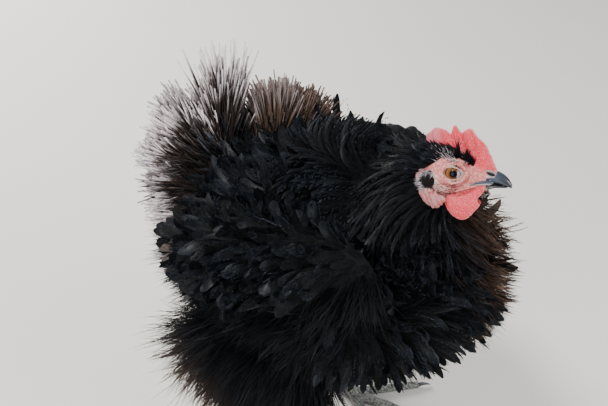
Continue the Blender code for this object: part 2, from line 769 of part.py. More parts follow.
def build():
    """Builds every piece of the hen."""
    clear_scene()
    black = paint("plumage", BLACK, 0.45)
    red = paint("comb_skin", RED, 0.5)
    pink = paint("face_skin", FACE_PINK, 0.55)
    horn = paint("horn", HORN, 0.3)
    slate = paint("leg_scales", SLATE, 0.5)
    amber = paint("eye", AMBER, 0.1)

    torso = body_solid("torso", CORE_DEPTH, black)
    neck = neck_solid("neck", NECK_CORE_SHARE, black)
    head = head_flesh(pink)
    crest = comb(red)
    upper, lower = bill(horn)
    nodes = {"torso": torso, "neck": neck, "head": head, "comb": crest, "bill_upper": upper, "bill_lower": lower}
    level = Matrix.Rotation(-WING_PITCH, 4, "Y")
    hip = Matrix.Rotation(THIGH_TURN, 4, "Y")
    for side, way in SIDES:
        place = in_head(EYE_AT[0], way * EYE_AT[1], EYE_AT[2])
        eye = ellipsoid(f"eye_{side}", place, Vector((1, 1, 1)) * EYE_RADIUS * MM, None, 14, 10, amber)
        lobe = earlobe(f"earlobe_{side}", way, pink)
        boolean(lobe, [copy_grown(head)], "DIFFERENCE")
        drop = wattle(f"wattle_{side}", way, red)
        for seat in (copy_grown(head), copy_grown(lower), copy_grown(lobe)):
            boolean(drop, [seat], "DIFFERENCE")
        place = Vector((WING_AT.x, way * WING_AT.y, WING_AT.z))
        wing = ellipsoid(f"wing_{side}", place, WING_SIZE, level, 20, 10, black)
        place = Vector((THIGH_AT.x, way * THIGH_AT.y, THIGH_AT.z))
        thigh = ellipsoid(f"thigh_{side}", place, THIGH_SIZE, hip, 16, 10, black)
        leg = shank(f"shank_{side}", way, slate)
        boolean(thigh, [copy_grown(leg)], "DIFFERENCE")
        for piece in (eye, lobe, drop, wing, thigh, leg, *foot(side, way, horn, slate)):
            nodes[piece.name] = piece
    nodes["tail"] = ellipsoid("tail", TAIL_AT, TAIL_SIZE, None, 16, 10, black)
    for name in ("wing_left", "wing_right", "thigh_left", "thigh_right", "tail"):
        boolean(nodes[name], [body_solid("seat", CORE_DEPTH - GAP)], "DIFFERENCE")
    near = ("comb", "earlobe_left", "earlobe_right", "wattle_left", "wattle_right")
    seats = [copy_grown(nodes[name]) for name in near]
    boolean(neck, [head_loft("seat", SKULL, 16, SKULL_SQUARE, 0.3), *seats], "DIFFERENCE")
    boolean(neck, [body_solid("seat", CORE_DEPTH - GAP)], "DIFFERENCE")

    coat = Coat(nodes, random.Random(7))
    for side, way in SIDES:
        wing_vanes(coat, side, way)
    tail_vanes(coat)
    neck_vanes(coat)
    for side, way in SIDES:
        thigh_vanes(coat, side, way)
    body_vanes(coat)
    for piece in nodes.values():
        coat.join(piece)
        piece.data.shade_smooth()
        piece.data.set_sharp_from_angle(angle=math.radians(40))
        print(piece.name, len(coat.objects[piece.name]), len(piece.data.polygons))
    centre_on_floor(list(nodes.values()))


build()
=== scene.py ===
"""Looks of a life-size frizzle-feathered hen: skin, eyes, bill, legs and every feather.

Metres, +Z up. The bill points to +X and the hen's right side is at -Y. Sizes repeat those of the
solids, in the same places. Head sizes are millimetres in the head's own frame.
"""

import logging
import math
from collections.abc import Iterator, Sequence
from dataclasses import dataclass, field
from enum import Enum

import bpy
import numpy as np
from mathutils import Euler, Matrix, Vector, noise
from mathutils.bvhtree import BVHTree

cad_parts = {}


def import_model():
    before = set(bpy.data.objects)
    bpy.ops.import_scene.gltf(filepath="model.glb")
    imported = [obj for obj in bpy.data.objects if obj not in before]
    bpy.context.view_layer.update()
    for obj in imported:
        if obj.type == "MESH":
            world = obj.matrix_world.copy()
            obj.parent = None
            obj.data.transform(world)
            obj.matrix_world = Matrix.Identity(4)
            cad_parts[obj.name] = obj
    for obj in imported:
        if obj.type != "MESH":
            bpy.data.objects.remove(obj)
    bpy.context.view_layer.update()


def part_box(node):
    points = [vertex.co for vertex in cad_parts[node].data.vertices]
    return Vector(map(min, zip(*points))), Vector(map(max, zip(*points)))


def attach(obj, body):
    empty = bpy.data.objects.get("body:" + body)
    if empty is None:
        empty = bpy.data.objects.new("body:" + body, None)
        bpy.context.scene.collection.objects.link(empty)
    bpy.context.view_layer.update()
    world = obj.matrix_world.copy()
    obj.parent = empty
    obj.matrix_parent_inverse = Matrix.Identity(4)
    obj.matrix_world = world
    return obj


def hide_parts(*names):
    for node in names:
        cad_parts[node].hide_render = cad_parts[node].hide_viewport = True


log = logging.getLogger("hen")

MM = 0.001
SIDES = (("left", 1), ("right", -1))
Station = tuple[float, float, float, float, float]

# Body egg under the feather tips, and how deep the skin lies under them.
BODY_AT = Vector((-0.001, 0.0, 0.198))
BODY_OUTLINE = Vector((0.141, 0.108, 0.114))
BODY_PITCH = math.radians(10)
BODY_EGG = 0.10
SHOULDER_DROP = 0.26
BODY_DEPTH = 0.031
ARMPIT = Vector((0.048, 0.098, 0.205))

# Neck centre line: point, radius at the feather tips, depth of its coat.
NECK_LINE = (
    ((0.036, 0.000, 0.205), 0.090, 0.040),
    ((0.052, 0.001, 0.252), 0.072, 0.038),
    ((0.064, 0.002, 0.284), 0.046, 0.028),
    ((0.070, 0.002, 0.304), 0.023, 0.012),
)
NECK_DEPTH_SHARE = 0.72

WING_AT = Vector((-0.004, 0.071, 0.238))
WING_SIZE = Vector((0.080, 0.021, 0.040))
WING_PITCH = math.radians(14)
TAIL_AT = Vector((-0.100, 0.0, 0.238))
TAIL_RADIUS = 0.032
THIGH_AT = Vector((-0.026, 0.056, 0.128))
THIGH_SIZE = Vector((0.060, 0.034, 0.048))
THIGH_TURN = math.radians(18)
UNDER_COAT = 0.006

HEAD_AT = Vector((0.0912, 0.0016, 0.3001))
HEAD_TURN = Euler((math.radians(-28.4), math.radians(-6.2), math.radians(7.1)))
HEAD = Matrix.Translation(HEAD_AT) @ HEAD_TURN.to_matrix().to_4x4() @ Matrix.Scale(MM, 4)
EYE_AT = Vector((-1.0, 8.9, -0.6))
EYE_RADIUS = 6.0
EAR_AT = Vector((-15.2, 14.6, -6.6))
CROWN = Vector((-6, 0, 8))

HOCK = Vector((-0.030, 0.050, 0.098))
ANKLE = Vector((-0.004, 0.050, 0.017))
TOES = (
    ("outer", 62.0, 4.3, 38.0), ("middle", 72.0, 4.7, 2.0),
    ("inner", 54.0, 4.3, -36.0), ("hind", 27.0, 3.8, 172.0),
)
CLAW_LENGTH = 12.0


def smooth_step(value: np.ndarray | float) -> np.ndarray | float:
    """0 below 0, 1 above 1 and an even S-curve between."""
    value = np.clip(value, 0.0, 1.0)
    return value * value * (3 - 2 * value)


def rise(past: float, width: float) -> float:
    """How far a smooth change of that width has come, from 0 to 1."""
    return float(smooth_step(past / width))


def mix(a: float, b: float, share: float) -> float:
    """The value that lies that share of the way from a to b."""
    return a + (b - a) * share


def curve(knots: Sequence[tuple[float, float]], at: np.ndarray | float) -> np.ndarray | float:
    """Reads a smooth curve.

    Args:
        knots: Rising places, each with its value.
        at: Where the curve is read; beyond its ends it keeps its end value.

    Returns:
        The curve's value at each place.
    """
    places, values = np.array(knots, float).T
    slopes = np.gradient(values, places)
    at = np.clip(at, places[0], places[-1])
    i = np.clip(np.searchsorted(places, at) - 1, 0, len(places) - 2)
    gap = places[i + 1] - places[i]
    t = (at - places[i]) / gap
    share = (3 - 2 * t) * t * t
    bow = (t * (1 - t) ** 2 * slopes[i] - t * t * (1 - t) * slopes[i + 1]) * gap
    return values[i] * (1 - share) + values[i + 1] * share + bow


def linear(red: int, green: int, blue: int) -> tuple[float, float, float, float]:
    """A screen colour from 0 to 255 as the light it stands for."""
    light = [((c / 255 + 0.055) / 1.055) ** 2.4 if c > 10 else c / 255 / 12.92 for c in (red, green, blue)]
    return (*light, 1.0)


def along_skin(way: Vector, normal: Vector) -> Vector:
    """A direction turned into the surface, one unit long."""
    return (way - normal * way.dot(normal)).normalized()


def scattered(points: np.ndarray, spacing: float, draw: np.random.Generator) -> list[int]:
    """Picks points in a random order, none nearer to another than the spacing."""
    order = draw.permutation(len(points))
    cells = np.floor(points / spacing).astype(int)
    taken: dict[tuple, list[int]] = {}
    picked = []
    around = [(i, j, k) for i in (-1, 0, 1) for j in (-1, 0, 1) for k in (-1, 0, 1)]
    for i in order.tolist():
        a, b, c = cells[i].tolist()
        near = [n for i_, j_, k_ in around for n in taken.get((a + i_, b + j_, c + k_), ())]
        if near and np.min(np.sum((points[near] - points[i]) ** 2, axis=1)) < spacing * spacing:
            continue
        taken.setdefault((a, b, c), []).append(i)
        picked.append(i)
    return picked


class Bench:
    """Blender's modelling operators, used on one piece after another."""

    @staticmethod
    def clear() -> None:
        """Leaves nothing selected."""
        bpy.ops.object.select_all(action="DESELECT")

    @staticmethod
    def only(obj: bpy.types.Object) -> bpy.types.Object:
        """Selects one object alone and makes it active."""
        Bench.clear()
        obj.select_set(True)
        bpy.context.view_layer.objects.active = obj
        return obj

    @staticmethod
    def named(name: str) -> bpy.types.Object:
        """Names the piece just added and puts its place into its mesh."""
        obj = bpy.context.view_layer.objects.active
        obj.name = name
        obj.data.name = name
        bpy.ops.object.transform_apply(location=True, rotation=True, scale=True)
        return obj

    @staticmethod
    def ball(
        name: str, at: Vector, size: Sequence[float], turn: float = 0.0, detail: int = 24
    ) -> bpy.types.Object:
        """An ellipsoid with those half sizes, turned about Y."""
        Bench.clear()
        bpy.ops.mesh.primitive_uv_sphere_add(
            segments=detail, ring_count=detail * 2 // 3, radius=1.0,
            location=at, rotation=(0, turn, 0), scale=size,
        )
        return Bench.named(name)

    @staticmethod
    def lofted(name: str, stations: Sequence[Station], sides: int, square: float = 2.0) -> bpy.types.Object:
        """A closed form drawn out along X, ring by ring.

        Args:
            name: The piece's name.
            stations: Each ring's middle and its half sizes across Y and Z.
            sides: Points round a ring.
            square: 2 for an oval; more makes the ring boxier.

        Returns:
            The new object.
        """
        Bench.clear()
        bpy.ops.mesh.primitive_circle_add(
            vertices=sides, radius=1.0, fill_type="NGON", rotation=(0.0, math.pi / 2, 0.0)
        )
        obj = Bench.named(name)
        x, y, z, wide, high = stations[0]
        for vert in obj.data.vertices:
            across, up = (math.copysign(abs(c) ** (2 / square), c) for c in vert.co.yz)
            vert.co = (x, y + wide * across, z + high * up)
        bpy.ops.object.mode_set(mode="EDIT")
        bpy.ops.mesh.select_all(action="SELECT")
        for last, ring in zip(stations, stations[1:]):
            step = [float(there - here) for here, there in zip(last[:3], ring[:3])]
            grown = (1.0, float(ring[3] / last[3]), float(ring[4] / last[4]))
            bpy.ops.mesh.extrude_region_move(TRANSFORM_OT_translate={"value": step})
            bpy.ops.transform.resize(value=grown, center_override=[float(c) for c in ring[:3]])
        bpy.ops.mesh.select_all(action="SELECT")
        bpy.ops.mesh.normals_make_consistent(inside=False)
        bpy.ops.object.mode_set(mode="OBJECT")
        return obj

    @staticmethod
    def modify(obj: bpy.types.Object, kind: str, **settings: object) -> None:
        """Adds a modifier with those settings and applies it."""
        Bench.only(obj)
        modifier = obj.modifiers.new(kind.title(), kind)
        for name, value in settings.items():
            setattr(modifier, name, value)
        bpy.ops.object.modifier_apply(modifier=modifier.name)

    @staticmethod
    def cut(obj: bpy.types.Object, tools: Sequence[bpy.types.Object]) -> None:
        """Cuts each tool out of a piece and removes the tool."""
        for tool in tools:
            Bench.modify(obj, "BOOLEAN", operation="DIFFERENCE", object=tool)
            bpy.data.objects.remove(tool, do_unlink=True)

    @staticmethod
    def joined(name: str, pieces: Sequence[bpy.types.Object]) -> bpy.types.Object:
        """Puts several pieces into one object."""
        Bench.clear()
        for piece in pieces:
            piece.select_set(True)
        bpy.context.view_layer.objects.active = pieces[0]
        bpy.ops.object.join()
        pieces[0].name = name
        pieces[0].data.name = name
        return pieces[0]

    @staticmethod
    def fused(name: str, pieces: Sequence[bpy.types.Object], voxel: float, smooth: int) -> bpy.types.Object:
        """Melts several closed pieces into one even skin."""
        obj = Bench.joined(name, pieces)
        Bench.modify(obj, "REMESH", mode="VOXEL", voxel_size=voxel)
        Bench.modify(obj, "SMOOTH", factor=0.5, iterations=smooth)
        return obj

    @staticmethod
    def tree(obj: bpy.types.Object) -> BVHTree:
        """A search tree of an object's faces."""
        mesh = obj.data
        faces = [tuple(p.vertices) for p in mesh.polygons]
        return BVHTree.FromPolygons([v.co for v in mesh.vertices], faces)


def points_of(mesh: bpy.types.Mesh) -> np.ndarray:
    """A mesh's points as rows of three numbers."""
    points = np.empty(len(mesh.vertices) * 3, np.float32)
    mesh.vertices.foreach_get("co", points)
    return points.reshape(-1, 3)


def normals_of(mesh: bpy.types.Mesh) -> np.ndarray:
    """The mesh's normal at each of its points."""
    normals = np.empty(len(mesh.vertices) * 3, np.float32)
    mesh.vertex_normals.foreach_get("vector", normals)
    return normals.reshape(-1, 3)


def stain(mesh: bpy.types.Mesh, name: str, values: np.ndarray) -> None:
    """Stores four numbers a point on a mesh, as a colour attribute."""
    layer = mesh.attributes.new(name, "FLOAT_COLOR", "POINT")
    layer.data.foreach_set("color", np.ascontiguousarray(values, np.float32).ravel())


def dye_of(mesh: bpy.types.Mesh, name: str) -> np.ndarray:
    """The four numbers a point that a mesh holds under a name."""
    dye = np.empty(len(mesh.vertices) * 4, np.float32)
    mesh.attributes[name].data.foreach_get("color", dye)
    return dye.reshape(-1, 4)


def roughness_at(points: np.ndarray, scale: float) -> np.ndarray:
    """Smooth noise from -1 to 1 at each point."""
    return np.array([noise.noise(Vector(p) * scale) for p in points.tolist()])


class Wire:
    """A shader value that Python's own operators can work on."""

    def __init__(self, book: "NodeBook", socket: bpy.types.NodeSocket) -> None:
        """Wraps one output socket of a material."""
        self.book = book
        self.socket = socket

    def math(self, operation: str, other: "Wire | float | None" = None, swap: bool = False) -> "Wire":
        """One Math node on this value and another."""
        values = (self,) if other is None else (other, self) if swap else (self, other)
        return self.book.wire("ShaderNodeMath", {"operation": operation}, dict(enumerate(values)))

    def __add__(self, other: "Wire | float") -> "Wire":
        """Sum."""
        return self.math("ADD", other)

    def __sub__(self, other: "Wire | float") -> "Wire":
        """Difference."""
        return self.math("SUBTRACT", other)

    def __rsub__(self, other: "Wire | float") -> "Wire":
        """Difference from a number."""
        return self.math("SUBTRACT", other, swap=True)

    def __mul__(self, other: "Wire | float") -> "Wire":
        """Product."""
        return self.math("MULTIPLY", other)

    def __truediv__(self, other: "Wire | float") -> "Wire":
        """Quotient."""
        return self.math("DIVIDE", other)

    def __pow__(self, other: "Wire | float") -> "Wire":
        """Power."""
        return self.math("POWER", other)

    __radd__ = __add__
    __rmul__ = __mul__

    def step(self, low: float, high: float) -> "Wire":
        """0 up to low, 1 from high, smooth between."""
        settings = {"interpolation_type": "SMOOTHSTEP"}
        inputs = {"Value": self, "From Min": low, "From Max": high}
        return self.book.wire("ShaderNodeMapRange", settings, inputs)


class NodeBook:
    """One material and the nodes that feed its Principled shader."""

    def __init__(self, name: str, **constants: object) -> None:
        """Starts a material.

        Args:
            name: The material's name.
            constants: Values set on the shader's own sockets, with _ for a space.
        """
        self.material = bpy.data.materials.new(name)
        self.material.use_nodes = True
        self.tree = self.material.node_tree
        self.shader = self.tree.nodes["Principled BSDF"]
        for socket, value in constants.items():
            self.shader.inputs[socket.replace("_", " ")].default_value = value

    def node(self, kind: str, settings: dict | None = None, inputs: dict | None = None) -> bpy.types.Node:
        """Adds a node.

        Args:
            kind: The node's type.
            settings: Its properties, set before its sockets; a list under "stops" fills its ramp.
            inputs: Values or wires by socket name or number.

        Returns:
            The new node.
        """
        made = self.tree.nodes.new(kind)
        for name, value in (settings or {}).items():
            if name == "stops":
                self.fill_ramp(made.color_ramp, value)
            else:
                setattr(made, name, value)
        for name, value in (inputs or {}).items():
            if isinstance(value, Wire):
                self.tree.links.new(value.socket, made.inputs[name])
            else:
                made.inputs[name].default_value = value
        return made

    @staticmethod
    def fill_ramp(ramp: bpy.types.ColorRamp, stops: Sequence[tuple]) -> None:
        """Sets a ramp's stops, each a place and a colour."""
        while len(ramp.elements) < len(stops):
            ramp.elements.new(1.0)
        for element, (place, colour) in zip(ramp.elements, stops):
            element.position = place
            element.color = colour

    def wire(
        self, kind: str, settings: dict | None = None, inputs: dict | None = None, out: object = 0
    ) -> Wire:
        """Adds a node and wraps one of its outputs."""
        return Wire(self, self.node(kind, settings, inputs).outputs[out])

    def place(self) -> Wire:
        """Where the point is on the object."""
        return self.wire("ShaderNodeTexCoord", out="Object")

    def parts(self, colour: Wire) -> tuple[Wire, Wire, Wire]:
        """A colour's three channels."""
        node = self.node("ShaderNodeSeparateColor", None, {0: colour})
        return tuple(Wire(self, node.outputs[i]) for i in range(3))

    def stained(self, name: str) -> tuple[Wire, Wire, Wire, Wire]:
        """The four numbers of a colour attribute."""
        node = self.node("ShaderNodeAttribute", {"attribute_name": name})
        return (*self.parts(Wire(self, node.outputs["Color"])), Wire(self, node.outputs["Alpha"]))

    def grain(self, scale: float, detail: float = 2.0, at: Wire | None = None, rough: float = 0.5) -> Wire:
        """Noise from 0 to 1."""
        inputs = {"Vector": at or self.place(), "Scale": scale, "Detail": detail, "Roughness": rough}
        return self.wire("ShaderNodeTexNoise", None, inputs)

    def cells(self, scale: float, feature: str = "F1") -> Wire:
        """Distance to the nearest cell's middle, or to its edge."""
        inputs = {"Vector": self.place(), "Scale": scale}
        return self.wire("ShaderNodeTexVoronoi", {"feature": feature}, inputs, "Distance")

    def blend(self, low: object, high: object, share: Wire | float, how: str = "MIX") -> Wire:
        """Mixes two colours."""
        settings = {"data_type": "RGBA", "blend_type": how, "clamp_factor": True}
        return self.wire("ShaderNodeMix", settings, {0: share, 6: low, 7: high}, 2)

    def vector(self, operation: str, a: object, b: object, out: object = 0) -> Wire:
        """One Vector Math node."""
        return self.wire("ShaderNodeVectorMath", {"operation": operation}, {0: a, 1: b}, out)

    def raised(self, height: Wire, distance: float, strength: float = 1.0) -> None:
        """Feeds a height to the shader's normal."""
        inputs = {"Height": height, "Distance": distance, "Strength": strength}
        bump = self.wire("ShaderNodeBump", None, inputs)
        self.tree.links.new(bump.socket, self.shader.inputs["Normal"])

    def feed(self, socket: str, value: Wire) -> None:
        """Links a value to one of the shader's sockets."""
        self.tree.links.new(value.socket, self.shader.inputs[socket])


@dataclass(frozen=True)
class PlumageFinish:
    """Black feathers with a cool sheen, browner where worn, with painted shade and painted highlights."""

    black: tuple = linear(8, 11, 16)
    # deep: painted shade at each feather's root, where the feathers above shade it.
    deep: tuple = linear(2, 3, 4)
    # slate: painted highlight, a blue-grey sheen towards the feather tips.
    slate: tuple = linear(44, 53, 66)
    # rim: painted highlight along the feathers' edges and on some barb clumps.
    rim: tuple = linear(108, 120, 134)
    brown: tuple = linear(110, 86, 72)
    # tip: the own white of pale hairs, and painted highlight for sun glare on the rump, tail and wing tips.
    tip: tuple = linear(250, 240, 244)
    barb_pitch: float = 34.0
    lock_pitch: float = 9.0

    def material(self) -> bpy.types.Material:
        """Builds the finish from the coat's own attributes."""
        book = NodeBook(
            "plumage", Specular_IOR_Level=0.09, Sheen_Weight=0.025, Sheen_Roughness=0.35, Coat_Roughness=0.38
        )
        book.shader.inputs["Sheen Tint"].default_value = linear(190, 214, 235)
        along, brown, pale, tone = book.stained("dye")
        across = book.wire("ShaderNodeAttribute", {"attribute_name": "across"}, out="Fac")
        slant = along - 0.22 * across
        line_inputs = {0: slant * self.barb_pitch, 1: tone * 57.0, 2: across * 1.5}
        lines = book.wire("ShaderNodeCombineXYZ", None, line_inputs)
        lock_inputs = {0: slant * self.lock_pitch, 1: tone * 91.0, 2: across * 1.1}
        locks = book.wire("ShaderNodeCombineXYZ", None, lock_inputs)
        barbs, clumps = book.grain(1.0, 2.0, lines, 0.6), book.grain(1.0, 1.0, locks)
        # Painted shade: darker towards each feather's root, varied by its tone.
        colour = book.blend(self.deep, self.black, (along + 0.6 * tone - 0.25).step(0.0, 1.0))
        # Painted highlight: a slate sheen towards the tips.
        colour = book.blend(colour, self.slate, 0.28 * tone.step(0.35, 1.0) * along.step(0.40, 1.0))
        # Painted highlight: the rim colour lightens each feather's edges and some barb clumps.
        rim = across.step(0.55, 1.15) * tone.step(0.30, 0.95) * along.step(0.15, 0.7)
        colour = book.blend(colour, self.rim, 0.46 * rim + 0.08 * clumps.step(0.56, 0.66) * along)
        worn = brown * (0.55 + 0.7 * tone) * (0.6 + 0.6 * along)
        colour = book.blend(colour, self.brown, worn.step(0.05, 0.95))
        # white: the own white of pale head hairs, and painted highlight for sun glare on the rump, tail and
        # wing tips.
        whole = 8.0 * (pale - 0.9).math("MAXIMUM", 0.0)
        white = pale * (along + 0.15 * tone + whole).step(0.70, 0.95)
        colour = book.blend(colour, self.tip, white)
        # Barb streaks: partly the barbs' own texture, partly painted highlight streaks along them.
        streak = book.blend(linear(130, 130, 130), linear(255, 255, 255), barbs.step(0.30, 0.68))
        book.feed("Base Color", book.blend(colour, streak, 1 - 0.8 * white, "MULTIPLY"))
        book.feed("Roughness", 0.40 + 0.24 * clumps + 0.10 * barbs + 0.20 * pale)
        book.feed("Coat Weight", 0.17 * (1 - brown) * tone.step(0.30, 0.85) * along.step(0.15, 0.6))
        book.raised(clumps + 0.35 * barbs, 0.0014, 0.8)
        return book.material


@dataclass(frozen=True)
class FleshFinish:
    """Bare skin: red pebbled comb and wattles, wrinkled pink face, pale lobes and dark covered skin."""

    face: tuple = linear(190, 92, 88)
    flush: tuple = linear(184, 66, 72)
    red: tuple = linear(218, 26, 50)
    rose: tuple = linear(246, 158, 162)
    mauve: tuple = linear(196, 128, 140)
    lobe: tuple = linear(174, 122, 120)
    pale: tuple = linear(224, 188, 176)
    rim: tuple = linear(250, 196, 196)
    lid: tuple = linear(182, 160, 148)
    ear: tuple = linear(222, 208, 202)
    covered: tuple = linear(10, 11, 14)
    # Painted shade in the wrinkles, folds and mouth groove.
    crease_shade: tuple = linear(132, 52, 52)

    def material(self) -> bpy.types.Material:
        """Builds the finish from the skin's zones."""
        book = NodeBook(
            "bare_skin", Subsurface_Weight=0.10, Subsurface_Scale=0.0012,
            Specular_IOR_Level=0.14, Coat_Roughness=0.42,
        )
        book.shader.inputs["Subsurface Radius"].default_value = (1.0, 0.35, 0.25)
        red, lobe, covered, crease_shade = book.stained("flesh")
        rim, lid, ear, _ = book.stained("trim")
        fine, middle, coarse = book.grain(1700.0, 2.0), book.grain(850.0, 2.0), book.grain(300.0, 3.0)
        pebbles = book.cells(950.0)
        face = book.blend(self.face, self.flush, 0.7 * coarse.step(0.46, 0.64))
        face = book.blend(face, self.pale, 0.08 + 0.50 * middle.step(0.47, 0.62))
        face = book.blend(face, self.flush, 0.5 * fine.step(0.55, 0.64))
        worms = 1 - 12.0 * (book.grain(1050.0, 1.0) - 0.5).math("ABSOLUTE")
        grains = (worms + 0.8 * middle - 0.2).step(0.2, 0.9)
        comb = book.blend(self.red, self.rose, 0.02 + 0.38 * grains)
        comb = book.blend(comb, self.mauve, 0.60 * lobe)
        folds = book.blend(self.lobe, self.flush, 0.55 * coarse.step(0.45, 0.62))
        colour = book.blend(book.blend(face, folds, lobe), comb, red)
        colour = book.blend(colour, self.ear, ear * (0.35 + 0.65 * middle.step(0.40, 0.60)))
        colour = book.blend(book.blend(colour, self.lid, 0.8 * lid), self.rim, 0.35 * rim)
        # Painted shade darkens the creases.
        colour = book.blend(colour, self.crease_shade, crease_shade * 0.85)
        book.feed("Base Color", book.blend(colour, self.covered, covered))
        book.feed("Roughness", 0.42 + 0.18 * fine + 0.40 * covered)
        book.feed("Coat Weight", 0.45 * (1 - covered))
        book.raised((0.5 * grains + 0.7 - 0.7 * pebbles) * red + 0.5 * fine + 0.5 * middle, 0.0005, 0.8)
        return book.material


@dataclass(frozen=True)
class HornFinish:
    """Slate horn that pales along its edges, for the bill and claws."""

    slate: tuple = linear(50, 58, 74)
    dark: tuple = linear(30, 32, 38)
    edge: tuple = linear(178, 174, 166)
    flesh: tuple = linear(200, 122, 118)
    fleck: tuple = linear(226, 186, 176)

    def material(self, name: str) -> bpy.types.Material:
        """Builds the finish; the horn attribute holds tip, edge, flesh and painted slit shade."""
        book = NodeBook(name, Coat_Weight=0.60, Coat_Roughness=0.15)
        tip, edge, base, dark = book.stained("horn")
        grain = book.grain(900.0, 4.0)
        colour = book.blend(self.slate, self.dark, (tip + 0.5 * grain - 0.25).step(0.15, 0.95))
        colour = book.blend(colour, self.edge, (edge + 0.3 * grain).step(0.45, 1.0))
        colour = book.blend(colour, book.blend(self.flesh, self.fleck, grain.step(0.45, 0.62)), base)
        # The fourth channel darkens the nostril and the mouth line: painted shade.
        book.feed("Base Color", book.blend(colour, linear(20, 12, 12), dark))
        book.feed("Roughness", 0.24 + 0.2 * grain + 0.25 * base)
        book.raised(grain, 0.0002, 0.4)
        return book.material


@dataclass(frozen=True)
class EyeFinish:
    """Amber iris round a wide black pupil, under a wet clear surface, with a painted sky reflection."""

    gold: tuple = linear(138, 92, 50)
    rust: tuple = linear(80, 44, 26)
    grey: tuple = linear(58, 40, 30)
    # A painted reflection of the pale sky over the front of the eye.
    painted_reflection: tuple = linear(158, 156, 172)
    pupil: float = 2.45
    iris: float = 5.0

    def material(self, side: str, centre: Vector, gaze: Vector, ahead: Vector) -> bpy.types.Material:
        """Builds one eye's finish.

        Args:
            side: Which eye.
            centre: The middle of the eyeball.
            gaze: The way it looks.
            ahead: The way to the bill, across the gaze.

        Returns:
            The finished material.
        """
        book = NodeBook(
            f"eye_{side}", Roughness=0.3, Specular_IOR_Level=0.05, Coat_Weight=0.20, Coat_Roughness=0.02
        )
        offset = book.vector("SUBTRACT", book.place(), tuple(centre))
        depth = book.vector("DOT_PRODUCT", offset, tuple(gaze), "Value")
        reach = book.vector("DOT_PRODUCT", offset, offset, "Value")
        radius = (reach - depth * depth).math("MAXIMUM", 0.0) ** 0.5 / MM
        grain = book.grain(1500.0, 3.0)
        outward = (radius + 2.4 * grain).step(self.pupil + 0.6, self.iris + 0.8)
        colour = book.blend(self.rust, self.gold, outward)
        front = book.vector("DOT_PRODUCT", offset, tuple(ahead / MM), "Value")
        # Painted reflection: grey-lilac over the front of the iris.
        colour = book.blend(colour, self.painted_reflection, 0.85 * (front + 0.6 * grain).step(2.3, 3.1))
        colour = book.blend(colour, self.grey, radius.step(self.iris - 0.9, self.iris + 0.4))
        colour = book.blend(linear(4, 4, 5), colour, radius.step(self.pupil - 0.12, self.pupil + 0.12))
        book.feed("Base Color", colour)
        return book.material


@dataclass(frozen=True)
class LegFinish:
    """Slate-grey scaled skin of the shanks and toes."""

    slate: tuple = linear(92, 98, 100)
    pale: tuple = linear(142, 140, 130)

    def material(self) -> bpy.types.Material:
        """Builds the finish with small scales between the plates."""
        book = NodeBook("leg_scales", Specular_IOR_Level=0.5)
        scales, grain = book.cells(420.0, "DISTANCE_TO_EDGE"), book.grain(300.0, 3.0)
        seams = scales.step(0.02, 0.14)
        colour = book.blend(self.slate, self.pale, (0.6 * grain + 0.4 * seams).step(0.3, 0.9))
        book.feed("Base Color", book.blend(linear(38, 40, 42), colour, 0.35 + 0.65 * seams))
        book.feed("Roughness", 0.62 - 0.2 * seams)
        book.raised(seams + 0.3 * grain, 0.0004, 0.6)
        return book.material


